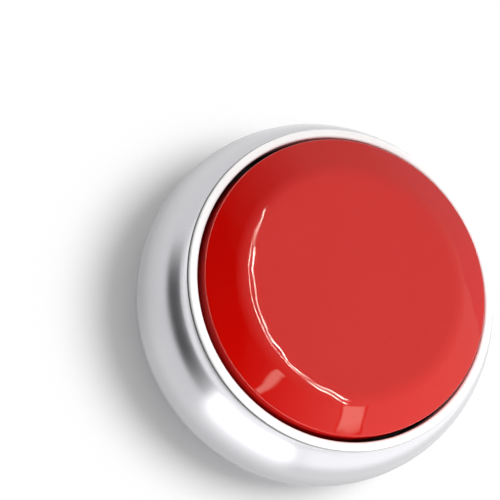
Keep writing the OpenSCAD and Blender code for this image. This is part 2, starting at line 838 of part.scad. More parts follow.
module cover_screws() {
    head_top = cover_top + screw_head_seat - seat_gap;
    head_z = head_top - screw_head_h;
    color([0.72, 0.72, 0.72]) round_row(leg_pitch_r, leg_angles) difference() {
        union() {
            pillar(screw_head_r, head_z, head_top);
            pillar(screw_r, head_top - bite, leg_foot_z + screw_l - over);
        }
        cross_slot(head_z, screw_slot);
    }
}

module rubber_feet() {
    foot_top = cover_z + foot_seat - seat_gap;
    color([0.08, 0.08, 0.08]) round_row(foot_pitch_r, foot_angles) rotate_extrude()
        polygon([[0, 0], [foot_r - foot_edge, 0], [foot_r, foot_edge], [foot_r, foot_top],
            [0, foot_top]]);
}

module battery_door() {
    latch_x = door_l / 2 - door_gap;
    door_end = -door_l / 2;
    color([0.70, 0.70, 0.72]) translate([0, bay_y, 0]) difference() {
        union() {
            // The plate, whose end is round about the hinge line
            span([hinge_x, -door_w / 2, cover_z], [door_l / 2, door_w / 2, door_top]);
            translate([hinge_x, door_w / 2, cover_z + door_t / 2]) rotate([90, 0, 0])
                cylinder(r = door_t / 2, h = door_w);
            for (side = [-1, 1]) translate([0, side * hook_y, 0]) {
                span([door_end, -hook_w / 2, door_top - bite],
                    [door_end + hook_in, hook_w / 2, hook_z + hook_t]);
                span([-bay_l / 2 - hook_out, -hook_w / 2, hook_z],
                    [door_end + hook_in, hook_w / 2, hook_z + hook_t]);
            }
            // The latch, whose nose lies over the cover's edge
            span([latch_x - latch_t, -latch_w / 2, door_top - bite],
                [latch_x, latch_w / 2, latch_top]);
            span([latch_x - bite, -latch_w / 2, hook_z],
                [latch_x + latch_nose, latch_w / 2, hook_z + nose_h]);
        }
        // Grip lines across the free end
        for (i = [1:grip_lines])
            translate([door_l / 2 - bite - i * grip_pitch, 0, 0])
                block(grip_w, latch_w, cover_z - over, cover_z + grip_depth);
    }
}

// A battery cell along X at height cell_z, with its nub towards +X where way is 1
module cell(y, way) {
    length = cell_l - 2 * seat_gap;
    can_r = cell_d / 2;
    translate([way * (bay_l / 2 - contact_t - seat_gap), y, cell_z]) rotate([0, -90 * way, 0]) {
        cylinder(r = nub_r, h = nub_h + bite);
        translate([0, 0, nub_h]) cylinder(r = can_r - wrap_edge, h = length - nub_h);
        translate([0, 0, nub_h + wrap_edge])
            cylinder(r = can_r, h = length - nub_h - 2 * wrap_edge);
    }
}

module front_cell() {
    color([0.20, 0.35, 0.55]) cell(front_cell_y, 1);
}

module rear_cell() {
    color([0.20, 0.35, 0.55]) cell(rear_cell_y, -1);
}

// A contact plate against the compartment's end wall, on the side that way gives
module contact_plate(y, way, width) {
    translate([way * (bay_l / 2 - contact_t / 2), y, 0])
        block(contact_t - seat_gap, width, cell_z - contact_h / 2, cell_z + contact_h / 2);
}

// The spring of a negative contact, from its plate to the cell
module contact_spring(y, way) {
    foot_coil_r = contact_h / 2 - contact_wire;
    translate([way * (bay_l / 2 - contact_t), y, cell_z]) rotate([0, -90 * way, 0])
        coil_spring(foot_coil_r, 0.7 * foot_coil_r, cell_spring - seat_gap, 3, contact_wire);
}

// The solder tail of a contact, up through the roof
module contact_tail(y) {
    translate([bay_l / 2 - contact_t / 2, y, 0])
        block(contact_t - seat_gap, tail_w, cell_z, bay_top + tail_h);
}

module bridge_contact() {
    color([0.80, 0.78, 0.72]) {
        contact_plate(bay_y, -1, cell_pitch + contact_w);
        contact_spring(front_cell_y, -1);
    }
}

module positive_contact() {
    color([0.80, 0.78, 0.72]) {
        contact_plate(front_cell_y, 1, contact_w);
        contact_tail(front_cell_y);
    }
}

module negative_contact() {
    color([0.80, 0.78, 0.72]) {
        contact_plate(rear_cell_y, 1, contact_w);
        contact_tail(rear_cell_y);
        contact_spring(rear_cell_y, 1);
    }
}

module speaker_gasket() {
    color([0.10, 0.10, 0.10]) translate([0, -speaker_y, 0]) difference() {
        pillar(speaker_r, cover_top + seat_gap, speaker_flange_z - seat_gap);
        pillar(speaker_r - gasket_w, cover_top - over, speaker_flange_z + over);
    }
}

module speaker_frame() {
    open_r = speaker_r - flange_w;
    waist_r = magnet_r + 2 * basket_sheet;
    flange_top = speaker_flange_z + flange_t;
    vent_r = 2;
    color([0.62, 0.62, 0.60]) translate([0, -speaker_y, 0]) rotate_extrude() polygon([
        [open_r, speaker_flange_z], [speaker_r, speaker_flange_z], [speaker_r, flange_top],
        [open_r + basket_sheet, flange_top], [waist_r + basket_sheet, basket_top],
        [vent_r, basket_top], [vent_r, basket_top - basket_sheet],
        [waist_r, basket_top - basket_sheet], [open_r, flange_top]]);
}

module speaker_cone() {
    film = 0.25;
    roll_h = 0.5;
    dust_z = 0.9;
    cone_z = 1.6;
    dust_r = 4;
    edge_r = speaker_r - flange_w - 2 * fit_gap;
    roll_r = edge_r - 2;
    cone_r = roll_r - 1.5;
    color([0.82, 0.80, 0.72]) translate([0, -speaker_y, speaker_flange_z + fit_gap])
        rotate_extrude() polygon([
            [edge_r, 0], [edge_r, film], [roll_r, film + roll_h], [cone_r, film],
            [dust_r, film + cone_z], [0, film + dust_z], [0, dust_z], [dust_r, cone_z],
            [cone_r, 0], [roll_r, roll_h]]);
}

module speaker_magnet() {
    cup_wall = 1.2;
    air_gap = 0.7;
    magnet_top = basket_top + magnet_h;
    color([0.55, 0.55, 0.56]) translate([0, -speaker_y, 0]) difference() {
        pillar(magnet_r, basket_top + seat_gap, magnet_top);
        difference() {
            pillar(magnet_r - cup_wall, basket_top - over, magnet_top - cup_wall);
            pillar(magnet_r - cup_wall - air_gap, basket_top - over, magnet_top);
        }
    }
}

module speaker_terminals() {
    color([0.75, 0.62, 0.35]) translate([terminal_x, -speaker_y, 0])
        block(terminal_t, terminal_w, speaker_flange_z + flange_t + seat_gap,
            speaker_flange_z + flange_t + terminal_h);
}

module speaker_wires() {
    color([0.70, 0.10, 0.08]) for (side = [-1, 1])
        tube(smooth_path(speaker_wire(side)), wire_r, wire_sides, [0, 1, 0]);
}

module battery_wires() {
    color([0.10, 0.10, 0.10]) {
        tube(smooth_path(front_wire), wire_r, wire_sides, [1, 1, 0]);
        tube(smooth_path(rear_wire), wire_r, wire_sides, [1, -1, 0]);
    }
}

upper_housing();
bezel_ring();
button_cap();
post_screws();
return_springs();
button_carrier();
switch_dome();
main_board();
board_screws();
voice_chip();
clock_crystal();
capacitors();
chip_resistors();
key_switches();
switch_pin(key_centres[0]);  // mode_plunger
switch_pin(key_centres[1]);  // set_plunger
switch_pin(key_centres[2]);  // plus_plunger
switch_pin(key_centres[3]);  // minus_plunger
mode_key();
set_key();
plus_key();
minus_key();
bottom_cover();
cover_screws();
rubber_feet();
battery_door();
front_cell();
rear_cell();
bridge_contact();
positive_contact();
negative_contact();
speaker_gasket();
speaker_frame();
speaker_cone();
speaker_magnet();
speaker_terminals();
speaker_wires();
battery_wires();
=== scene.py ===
# %% [markdown]
# # A talking clock with one big push button
# This lesson dresses the CAD model of a talking clock. The CAD gives every piece its size and its
# place, and here each one gets its surface: silver lacquer, red and white gloss, textured covers,
# steel, rubber, a circuit board. Pieces whose CAD mesh is too plain for a close look are turned or
# wound again from the same measures. Everything is in metres, with the origin on the table.

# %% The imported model
import json
import math

import bmesh
import bpy
from mathutils import Matrix, Vector

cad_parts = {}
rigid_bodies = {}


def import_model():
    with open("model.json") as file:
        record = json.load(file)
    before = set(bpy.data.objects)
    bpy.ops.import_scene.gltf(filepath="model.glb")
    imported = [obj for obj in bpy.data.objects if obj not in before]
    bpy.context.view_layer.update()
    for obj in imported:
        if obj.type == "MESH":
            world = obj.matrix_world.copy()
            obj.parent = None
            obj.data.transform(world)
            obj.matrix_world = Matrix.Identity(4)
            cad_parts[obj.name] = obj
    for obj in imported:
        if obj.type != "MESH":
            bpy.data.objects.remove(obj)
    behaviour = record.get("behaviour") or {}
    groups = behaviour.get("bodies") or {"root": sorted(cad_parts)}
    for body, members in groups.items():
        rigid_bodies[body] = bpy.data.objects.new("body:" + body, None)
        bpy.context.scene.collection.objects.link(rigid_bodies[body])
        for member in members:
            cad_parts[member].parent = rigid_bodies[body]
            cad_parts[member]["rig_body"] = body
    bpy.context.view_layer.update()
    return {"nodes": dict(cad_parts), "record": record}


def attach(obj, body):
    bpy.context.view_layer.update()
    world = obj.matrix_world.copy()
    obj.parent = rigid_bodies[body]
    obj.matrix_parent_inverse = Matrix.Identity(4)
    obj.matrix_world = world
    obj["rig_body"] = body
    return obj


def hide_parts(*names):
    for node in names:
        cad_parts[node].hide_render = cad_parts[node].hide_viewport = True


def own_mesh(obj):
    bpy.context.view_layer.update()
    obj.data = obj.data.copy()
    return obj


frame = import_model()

nodes = frame["nodes"]
MM = 0.001

# %% [markdown]
# ## Camera
# The photograph was taken with a long lens from above, and with the camera rolled, so the button's
# axis runs to the upper right. Its circles gave the tilt, the roll and the distance. A camera
# object looks along its own -Z, so its three axes are built first and then set as a matrix.

# %% Camera
TILT = math.radians(64.42)
ROLL = math.radians(56.75)
DISTANCE = 600 * MM
LENS_PIXELS = 2448.6
FRAME_PIXELS = 500
AIM_HEIGHT = 25 * MM
AIM_SIDE, AIM_UP = -20.03 * MM, -8.46 * MM


def make_camera():
    ahead = Vector((0, math.cos(TILT), -math.sin(TILT)))
    side = Vector((1, 0, 0))
    above = side.cross(ahead)
    aim = Vector((0, 0, AIM_HEIGHT)) + AIM_SIDE * side + AIM_UP * above
    rolled_side = math.cos(ROLL) * side + math.sin(ROLL) * above
    rolled_up = math.cos(ROLL) * above - math.sin(ROLL) * side
    axes = Matrix((rolled_side, rolled_up, -ahead)).transposed()
    data = bpy.data.cameras.new("camera")
    data.sensor_width = 36
    data.lens = data.sensor_width * LENS_PIXELS / FRAME_PIXELS
    data.clip_start, data.clip_end = 0.01, 20
    camera = bpy.data.objects.new("camera", data)
    bpy.context.scene.collection.objects.link(camera)
    camera.matrix_world = Matrix.Translation(aim - DISTANCE * ahead) @ axes.to_4x4()
    return camera


bpy.context.scene.camera = make_camera()
bpy.context.scene.view_settings.view_transform = "Standard"
print("camera at", [round(v, 3) for v in bpy.context.scene.camera.location])

# %% [markdown]
# ## Helpers for shader nodes
# A material here is a short chain of nodes that ends in one Principled shader. Three helpers keep
# it readable: one adds a node and sets its sockets, one starts a material, and one adds a group.
# All patterns read the Object coordinates, which are metres in the clock's own frame, so a grain
# of 0.2 mm has that size on every piece.

# %% Node helpers
def add_node(tree, kind, values=None, **settings):
    node = tree.nodes.new(kind)
    for key, value in settings.items():
        setattr(node, key, value)
    for key, value in (values or {}).items():
        if isinstance(value, bpy.types.NodeSocket):
            tree.links.new(value, node.inputs[key])
        else:
            node.inputs[key].default_value = value
    return node


def colour4(colour):
    return (*colour, 1.0)


def start_finish(name, colour, **sockets):
    """A new material with the given values on its Principled shader."""
    finish = bpy.data.materials.new(name)
    finish.use_nodes = True
    shader = finish.node_tree.nodes["Principled BSDF"]
    shader.inputs["Base Color"].default_value = colour4(colour)
    for key, value in sockets.items():
        shader.inputs[key.replace("_", " ")].default_value = value
    place = add_node(finish.node_tree, "ShaderNodeTexCoord").outputs["Object"]
    return finish, shader, place


def add_group(tree, group, **values):
    node = tree.nodes.new("ShaderNodeGroup")
    node.node_tree = group
    for key, value in values.items():
        if isinstance(value, bpy.types.NodeSocket):
            tree.links.new(value, node.inputs[key])
        else:
            node.inputs[key].default_value = value
    return node


def start_group(name, inputs, outputs):
    """A shader node group. inputs and outputs map a socket's name to its kind."""
    group = bpy.data.node_groups.new(name, "ShaderNodeTree")
    for key, kind in inputs.items():
        group.interface.new_socket(name=key, in_out="INPUT", socket_type="NodeSocket" + kind)
    for key, kind in outputs.items():
        group.interface.new_socket(name=key, in_out="OUTPUT", socket_type="NodeSocket" + kind)
    return group, group.nodes.new("NodeGroupInput").outputs, group.nodes.new("NodeGroupOutput").inputs


def math_node(tree, operation, first, second=0.0, third=0.0):
    values = {0: first, 1: second, 2: third}
    return add_node(tree, "ShaderNodeMath", values, operation=operation).outputs[0]


# %% [markdown]
# ## Shared effects
# Moulded, lacquered and drawn surfaces all need a few of the same effects, so each is a group with
# named inputs: a fine grain, smooth waves, slow smudges that change the gloss, long lines from
# drawing or brushing, scattered specks, and a tint that makes a colour lighter and darker.

# %% Grain: a fine even roughness, as from a spark-eroded mould
def grain_group():
    group, given, wanted = start_group("grain", {"Place": "Vector", "Size": "Float"},
        {"Height": "Float", "Tone": "Float"})
    scale = math_node(group, "DIVIDE", 1.0, given["Size"])
    fine = add_node(group, "ShaderNodeTexNoise",
        {"Vector": given["Place"], "Scale": scale, "Detail": 3.0, "Roughness": 0.6})
    broad_scale = math_node(group, "MULTIPLY", scale, 0.22)
    broad = add_node(group, "ShaderNodeTexNoise",
        {"Vector": given["Place"], "Scale": broad_scale, "Detail": 4.0, "Roughness": 0.65})
    group.links.new(fine.outputs[0], wanted["Height"])
    group.links.new(broad.outputs[0], wanted["Tone"])
    return group


# %% Waves: the slow, smooth unevenness of polished plastic
def wave_group():
    group, given, wanted = start_group("waves", {"Place": "Vector", "Size": "Float"},
        {"Height": "Float"})
    scale = math_node(group, "DIVIDE", 1.0, given["Size"])
    swell = add_node(group, "ShaderNodeTexNoise",
        {"Vector": given["Place"], "Scale": scale, "Detail": 0.0})
    group.links.new(swell.outputs[0], wanted["Height"])
    return group


# %% Smudges: slow changes of gloss between two values
def smudge_group():
    group, given, wanted = start_group("smudges",
        {"Place": "Vector", "Size": "Float", "Low": "Float", "High": "Float"},
        {"Value": "Float"})
    scale = math_node(group, "DIVIDE", 1.0, given["Size"])
    cloud = add_node(group, "ShaderNodeTexNoise",
        {"Vector": given["Place"], "Scale": scale, "Detail": 5.0, "Roughness": 0.55})
    spread = add_node(group, "ShaderNodeMapRange",
        {"Value": cloud.outputs[0], "From Min": 0.3, "From Max": 0.7, "To Min": given["Low"],
            "To Max": given["High"]})
    group.links.new(spread.outputs[0], wanted["Value"])
    return group


# %% Lines: noise pulled out along one direction
def line_group():
    group, given, wanted = start_group("drawn_lines",
        {"Place": "Vector", "Size": "Float", "Stretch": "Vector"},
        {"Height": "Float", "Tone": "Float"})
    scale = math_node(group, "DIVIDE", 1.0, given["Size"])
    pulled = add_node(group, "ShaderNodeVectorMath",
        {0: given["Place"], 1: given["Stretch"]}, operation="MULTIPLY")
    fine = add_node(group, "ShaderNodeTexNoise",
        {"Vector": pulled.outputs[0], "Scale": scale, "Detail": 4.0, "Roughness": 0.7})
    broad = add_node(group, "ShaderNodeTexNoise",
        {"Vector": given["Place"], "Scale": math_node(group, "MULTIPLY", scale, 0.1),
            "Detail": 3.0})
    group.links.new(fine.outputs[0], wanted["Height"])
    group.links.new(broad.outputs[0], wanted["Tone"])
    return group


# %% Specks: small round dots, on a share of the cells of a scattered pattern
def speck_group():
    group, given, wanted = start_group("specks",
        {"Place": "Vector", "Size": "Float", "Share": "Float"}, {"Mask": "Float"})
    scale = math_node(group, "DIVIDE", 1.0, given["Size"])
    cells = add_node(group, "ShaderNodeTexVoronoi", {"Vector": given["Place"], "Scale": scale})
    near = add_node(group, "ShaderNodeMapRange",
        {"Value": cells.outputs["Distance"], "From Min": 0.22, "From Max": 0.1})
    chosen = add_node(group, "ShaderNodeSeparateColor", {"Color": cells.outputs["Color"]})
    picked = math_node(group, "LESS_THAN", chosen.outputs[0], given["Share"])
    mask = math_node(group, "MULTIPLY", near.outputs[0], picked)
    group.links.new(mask, wanted["Mask"])
    return group


# %% Tint: a colour made darker and lighter by a mask
def tint_group():
    group, given, wanted = start_group("tint",
        {"Colour": "Color", "Mask": "Float", "Spread": "Float"}, {"Colour": "Color"})
    centred = math_node(group, "SUBTRACT", given["Mask"], 0.5)
    swing = math_node(group, "MULTIPLY", centred, given["Spread"])
    value = math_node(group, "MULTIPLY_ADD", swing, 2.0, 1.0)
    shade = add_node(group, "ShaderNodeHueSaturation",
        {"Value": value, "Color": given["Colour"]})
    group.links.new(shade.outputs[0], wanted["Colour"])
    return group


GRAIN, WAVES, SMUDGES, LINES, SPECKS, TINT = (
    grain_group(), wave_group(), smudge_group(), line_group(), speck_group(), tint_group())
print("groups:", [group.name for group in (GRAIN, WAVES, SMUDGES, LINES, SPECKS, TINT)])

# %% [markdown]
# ## Moulded plastic and rubber
# Most pieces are injection moulded. The mould leaves a grain on matt pieces and a slight waviness on
# glossy ones, the colour is nearly even, and the gloss changes a little where the plastic flowed
# and where hands have been. One function makes them all from those few values.

# %% Moulded finishes
def moulded(name, colour, gloss, grain, spread=0.05, smudge=12, **sockets):
    """gloss is the lowest and highest roughness; grain its size and depth, and smudge a size, in mm."""
    finish, shader, place = start_finish(name, colour, **sockets)
    tree = finish.node_tree
    texture = add_group(tree, GRAIN, Place=place, Size=grain[0] * MM)
    tint = add_group(tree, TINT, Colour=colour4(colour), Mask=texture.outputs["Tone"],
        Spread=spread)
    wear = add_group(tree, SMUDGES, Place=place, Size=smudge * MM, Low=gloss[0], High=gloss[1])
    bump = add_node(tree, "ShaderNodeBump",
        {"Height": texture.outputs["Height"], "Distance": grain[1] * MM, "Strength": 1.0})
    tree.links.new(tint.outputs[0], shader.inputs["Base Color"])
    tree.links.new(wear.outputs[0], shader.inputs["Roughness"])
    tree.links.new(bump.outputs[0], shader.inputs["Normal"])
    return finish


FINISHES = {
    "white_gloss": moulded("white_gloss", (0.90, 0.90, 0.90), (0.10, 0.16), (9, 0.004),
        spread=0.01, smudge=20, Coat_Weight=0.3, Coat_Roughness=0.05),
    "inner_plastic": moulded("inner_plastic", (0.035, 0.035, 0.037), (0.42, 0.55), (0.5, 0.006)),
    "cover_grey": moulded("cover_grey", (0.36, 0.36, 0.38), (0.46, 0.58), (0.42, 0.02),
        spread=0.08),
    "key_grey": moulded("key_grey", (0.075, 0.08, 0.09), (0.34, 0.46), (0.3, 0.006)),
    "silicone": moulded("silicone", (0.30, 0.30, 0.32), (0.55, 0.7), (0.4, 0.006),
        Subsurface_Weight=0.1, Subsurface_Scale=0.001),
    "epoxy_black": moulded("epoxy_black", (0.015, 0.015, 0.017), (0.12, 0.24), (2.5, 0.03)),
    "switch_black": moulded("switch_black", (0.02, 0.02, 0.022), (0.38, 0.5), (0.3, 0.006)),
    "foot_rubber": moulded("foot_rubber", (0.022, 0.022, 0.024), (0.6, 0.8), (0.35, 0.012),
        spread=0.2),
    "cone_film": moulded("cone_film", (0.60, 0.56, 0.44), (0.3, 0.42), (1.2, 0.01),
        spread=0.12),
    "terminal_board": moulded("terminal_board", (0.40, 0.25, 0.09), (0.4, 0.55), (0.5, 0.01),
        spread=0.2),
    "wire_red": moulded("wire_red", (0.45, 0.02, 0.015), (0.32, 0.45), (0.8, 0.004)),
    "wire_black": moulded("wire_black", (0.02, 0.02, 0.022), (0.32, 0.45), (0.8, 0.004)),
}
print("moulded finishes:", sorted(FINISHES))

# %% [markdown]
# ## Metal
# Springs, screws, contacts and the speaker's sheet are drawn, turned or pressed, which leaves fine
# lines along one direction. Plated steel is a metal with a middling roughness, and the lines move
# both the roughness and the surface by a hair.

# %% Metal finishes
def metal(name, colour, gloss, size, stretch, depth=0.002, spread=0.06):
    """size is how far the lines stand apart in mm, and stretch is small along their direction."""
    finish, shader, place = start_finish(name, colour, Metallic=1.0)
    tree = finish.node_tree
    lines = add_group(tree, LINES, Place=place, Size=size * MM, Stretch=stretch)
    tint = add_group(tree, TINT, Colour=colour4(colour), Mask=lines.outputs["Tone"],
        Spread=spread)
    wear = add_node(tree, "ShaderNodeMapRange",
        {"Value": lines.outputs["Height"], "To Min": gloss[0], "To Max": gloss[1]})
    bump = add_node(tree, "ShaderNodeBump",
        {"Height": lines.outputs["Height"], "Distance": depth * MM, "Strength": 1.0})
    tree.links.new(tint.outputs[0], shader.inputs["Base Color"])
    tree.links.new(wear.outputs[0], shader.inputs["Roughness"])
    tree.links.new(bump.outputs[0], shader.inputs["Normal"])
    return finish


FINISHES.update({
    "screw_steel": metal("screw_steel", (0.62, 0.62, 0.64), (0.22, 0.4), 0.15, (1, 1, 0.2)),
    "spring_steel": metal("spring_steel", (0.60, 0.60, 0.61), (0.2, 0.34), 0.1, (1, 1, 0.3)),
    "crystal_can": metal("crystal_can", (0.68, 0.68, 0.70), (0.15, 0.3), 0.2, (0.1, 1, 1)),
    "contact_nickel": metal("contact_nickel", (0.70, 0.67, 0.60), (0.18, 0.34), 0.15,
        (1, 1, 0.1)),
    "speaker_steel": metal("speaker_steel", (0.50, 0.50, 0.49), (0.3, 0.46), 0.3, (1, 1, 0.2)),
})
print("metal finishes added:", len(FINISHES))

# %% [markdown]
# ## Silver lacquer
# The body is moulded plastic under a satin silver lacquer. Tiny metal flakes lie nearly flat in it:
# together they reflect like a soft mirror, and one by one they make the tone sparkle a little.
# So the shader is nearly a metal and somewhat rough, and the flakes come from small specks. Only
# the outside is sprayed. The inside lies closer to the centre of the body's arc and stays bare, as
# plain plastic that is painted darker than its raw grey: painted shade inside the housing.

# %% Silver lacquer
ARC_CENTRE = (11.9, 19.5)
ARC_R, WALL, BARE_TOP_Z = 33.1, 2.2, 33.6
LACQUER_METAL = 0.9
# The inside colour is bare plastic painted darker than its raw grey, as painted shade inside the
# housing.
SILVER, BARE_PLASTIC_AND_SHADE = (0.60, 0.597, 0.622), (0.10, 0.10, 0.11)


def bare_shaded_inside_mask(tree, place):
    """1 on the inner face of the wall, bare plastic painted dark as shade, and 0 on the lacquered
    outside.
    """
    axes = add_node(tree, "ShaderNodeSeparateXYZ", {"Vector": place}).outputs
    flat = add_node(tree, "ShaderNodeCombineXYZ", {"X": axes["X"], "Y": axes["Y"]})
    radius = add_node(tree, "ShaderNodeVectorMath", {0: flat.outputs[0]}, operation="LENGTH")
    out = math_node(tree, "SUBTRACT", radius.outputs["Value"], ARC_CENTRE[0] * MM)
    high = math_node(tree, "SUBTRACT", axes["Z"], ARC_CENTRE[1] * MM)
    reach = add_node(tree, "ShaderNodeCombineXYZ", {"X": out, "Y": high})
    distance = add_node(tree, "ShaderNodeVectorMath", {0: reach.outputs[0]}, operation="LENGTH")
    near = math_node(tree, "LESS_THAN", distance.outputs["Value"], (ARC_R - WALL / 2) * MM)
    low = math_node(tree, "LESS_THAN", axes["Z"], BARE_TOP_Z * MM)
    return math_node(tree, "MULTIPLY", near, low)


def silver_lacquer():
    finish, shader, place = start_finish("silver_paint", SILVER)
    tree = finish.node_tree
    flakes = add_group(tree, SPECKS, Place=place, Size=0.16 * MM, Share=0.5)
    texture = add_group(tree, GRAIN, Place=place, Size=0.35 * MM)
    tint = add_group(tree, TINT, Colour=colour4(SILVER), Mask=flakes.outputs["Mask"],
        Spread=0.03)
    # The inner face gets no metal and the dark bare plastic, which is painted shade inside the housing.
    inside = bare_shaded_inside_mask(tree, place)
    colours = add_node(tree, "ShaderNodeMix", {"Factor": inside, 6: tint.outputs[0],
        7: colour4(BARE_PLASTIC_AND_SHADE)}, data_type="RGBA")
    metallic = math_node(tree, "MULTIPLY_ADD", inside, -LACQUER_METAL, LACQUER_METAL)
    wear = add_group(tree, SMUDGES, Place=place, Size=14 * MM, Low=0.17, High=0.20)
    bump = add_node(tree, "ShaderNodeBump",
        {"Height": texture.outputs["Height"], "Distance": 0.00015 * MM, "Strength": 1.0})
    tree.links.new(colours.outputs[2], shader.inputs["Base Color"])
    tree.links.new(metallic, shader.inputs["Metallic"])
    tree.links.new(wear.outputs[0], shader.inputs["Roughness"])
    tree.links.new(bump.outputs[0], shader.inputs["Normal"])
    return finish


FINISHES["silver_paint"] = silver_lacquer()
print("finish:", FINISHES["silver_paint"].name)

# %% [markdown]
# ## Red gloss
# The cap is polished red plastic, coloured through, so a little light goes into it and comes back
# red. Its gloss is nearly a mirror with the slow waviness that shrinking plastic gets, which bends
# the reflections of the lamps into soft waves.

# %% Red gloss
RED = (0.60, 0.0028, 0.0010)


def red_gloss():
    finish, shader, place = start_finish("red_gloss", RED, IOR=1.46,
        Subsurface_Weight=0.03, Subsurface_Scale=0.0008)
    tree = finish.node_tree
    waves = add_group(tree, WAVES, Place=place, Size=4.5 * MM)
    texture = add_group(tree, GRAIN, Place=place, Size=2.5 * MM)
    tint = add_group(tree, TINT, Colour=colour4(RED), Mask=texture.outputs["Tone"], Spread=0.02)
    wear = add_group(tree, SMUDGES, Place=place, Size=16 * MM, Low=0.03, High=0.07)
    bump = add_node(tree, "ShaderNodeBump",
        {"Height": waves.outputs["Height"], "Distance": 0.05 * MM, "Strength": 1.0})
    tree.links.new(tint.outputs[0], shader.inputs["Base Color"])
    tree.links.new(wear.outputs[0], shader.inputs["Roughness"])
    tree.links.new(bump.outputs[0], shader.inputs["Normal"])
    return finish


FINISHES["red_gloss"] = red_gloss()
print("finish:", FINISHES["red_gloss"].name)

# %% [markdown]
# ## Circuit board
# The board is glass fibre under green solder mask. Copper tracks show through the mask as lighter
# green lines in straight runs, which a brick pattern gives when its rows are narrow.

# %% Circuit board
def board_green():
    mask_green, track_green = (0.012, 0.12, 0.05), (0.03, 0.22, 0.09)
    finish, shader, place = start_finish("board_green", mask_green, Coat_Weight=0.4,
        Coat_Roughness=0.15)
    tree = finish.node_tree
    turned_place = add_node(tree, "ShaderNodeMapping",
        {"Vector": place, "Rotation": (0, 0, math.radians(90))})
    tracks = add_node(tree, "ShaderNodeTexBrick",
        {"Vector": turned_place.outputs[0], "Color1": (0, 0, 0, 1), "Color2": (0, 0, 0, 1),
            "Mortar": (1, 1, 1, 1), "Scale": 1 / MM, "Mortar Size": 0.2, "Mortar Smooth": 0.1,
            "Brick Width": 7.0, "Row Height": 1.3}, offset=0.37)
    texture = add_group(tree, GRAIN, Place=place, Size=0.6 * MM)
    colours = add_node(tree, "ShaderNodeMix", {"Factor": tracks.outputs["Color"],
        6: colour4(mask_green), 7: colour4(track_green)}, data_type="RGBA")
    tint = add_group(tree, TINT, Colour=colours.outputs[2], Mask=texture.outputs["Tone"],
        Spread=0.15)
    wear = add_group(tree, SMUDGES, Place=place, Size=8 * MM, Low=0.25, High=0.4)
    bump = add_node(tree, "ShaderNodeBump",
        {"Height": tracks.outputs["Color"], "Distance": 0.03 * MM, "Strength": 1.0})
    tree.links.new(tint.outputs[0], shader.inputs["Base Color"])
    tree.links.new(wear.outputs[0], shader.inputs["Roughness"])
    tree.links.new(bump.outputs[0], shader.inputs["Normal"])
    return finish


FINISHES["board_green"] = board_green()
print("finish:", FINISHES["board_green"].name)

# %% [markdown]
# ## Sleeves along X
# The cells and the capacitors lie along X and wear printed film. A cell's film is silver towards
# both ends, where it meets the bare metal, and a capacitor has a pale end on its sleeve. A step
# over one coordinate marks such a region, and on the cell the same mask drives colour and metal.

# %% Sleeves
BAND_START, STRIPE_START = 15.8, 17.6
WRAP_BLUE, BAND_SILVER = (0.03, 0.10, 0.28), (0.60, 0.60, 0.62)
SLEEVE_BLUE, SLEEVE_PALE = (0.012, 0.02, 0.07), (0.42, 0.44, 0.48)


def cell_wrap():
    finish, shader, place = start_finish("cell_wrap", WRAP_BLUE)
    tree = finish.node_tree
    axes = add_node(tree, "ShaderNodeSeparateXYZ", {"Vector": place})
    distance = math_node(tree, "ABSOLUTE", axes.outputs["X"])
    band = math_node(tree, "GREATER_THAN", distance, BAND_START * MM)
    colours = add_node(tree, "ShaderNodeMix", {"Factor": band, 6: colour4(WRAP_BLUE),
        7: colour4(BAND_SILVER)}, data_type="RGBA")
    texture = add_group(tree, GRAIN, Place=place, Size=1.5 * MM)
    tint = add_group(tree, TINT, Colour=colours.outputs[2], Mask=texture.outputs["Tone"],
        Spread=0.06)
    wear = add_group(tree, SMUDGES, Place=place, Size=10 * MM, Low=0.18, High=0.3)
    bump = add_node(tree, "ShaderNodeBump",
        {"Height": band, "Distance": 0.02 * MM, "Strength": 1.0})
    tree.links.new(tint.outputs[0], shader.inputs["Base Color"])
    tree.links.new(band, shader.inputs["Metallic"])
    tree.links.new(wear.outputs[0], shader.inputs["Roughness"])
    tree.links.new(bump.outputs[0], shader.inputs["Normal"])
    return finish


def capacitor_sleeve():
    finish, shader, place = start_finish("capacitor_sleeve", SLEEVE_BLUE)
    tree = finish.node_tree
    axes = add_node(tree, "ShaderNodeSeparateXYZ", {"Vector": place})
    pale = math_node(tree, "GREATER_THAN", axes.outputs["X"], STRIPE_START * MM)
    colours = add_node(tree, "ShaderNodeMix", {"Factor": pale, 6: colour4(SLEEVE_BLUE),
        7: colour4(SLEEVE_PALE)}, data_type="RGBA")
    texture = add_group(tree, GRAIN, Place=place, Size=0.8 * MM)
    tint = add_group(tree, TINT, Colour=colours.outputs[2], Mask=texture.outputs["Tone"],
        Spread=0.08)
    wear = add_group(tree, SMUDGES, Place=place, Size=4 * MM, Low=0.2, High=0.32)
    bump = add_node(tree, "ShaderNodeBump",
        {"Height": texture.outputs["Height"], "Distance": 0.008 * MM, "Strength": 1.0})
    tree.links.new(tint.outputs[0], shader.inputs["Base Color"])
    tree.links.new(wear.outputs[0], shader.inputs["Roughness"])
    tree.links.new(bump.outputs[0], shader.inputs["Normal"])
    return finish


FINISHES["cell_wrap"] = cell_wrap()
FINISHES["capacitor_sleeve"] = capacitor_sleeve()
print("all finishes:", len(FINISHES))

# %% [markdown]
# ## Finishes on the CAD pieces
# The record says which finish each node has. Every node gets its material here, also the ones
# that are turned again below, so nothing can be left plain.

# %% Dress the CAD pieces
def dress(obj, slot):
    obj.data.materials.clear()
    obj.data.materials.append(FINISHES[slot])


slots = {row["node"]: row["material_slot"] for row in frame["record"]["subparts"]}
for node_name, node_object in nodes.items():
    dress(node_object, slots[node_name])
print("dressed", len(slots), "nodes")

# %% [markdown]
# ## Turned pieces
# Housing, ring, cap and dome are round, so each is an outline turned about an axis, as a potter
# or a lathe would do it. Finely turned rings give the clean highlights that a coarse mesh breaks.
# The outline is a list of (radius, height) in mm. It may start and end on the axis, or close up.

# %% Turning
FULL_TURN = 2 * math.pi


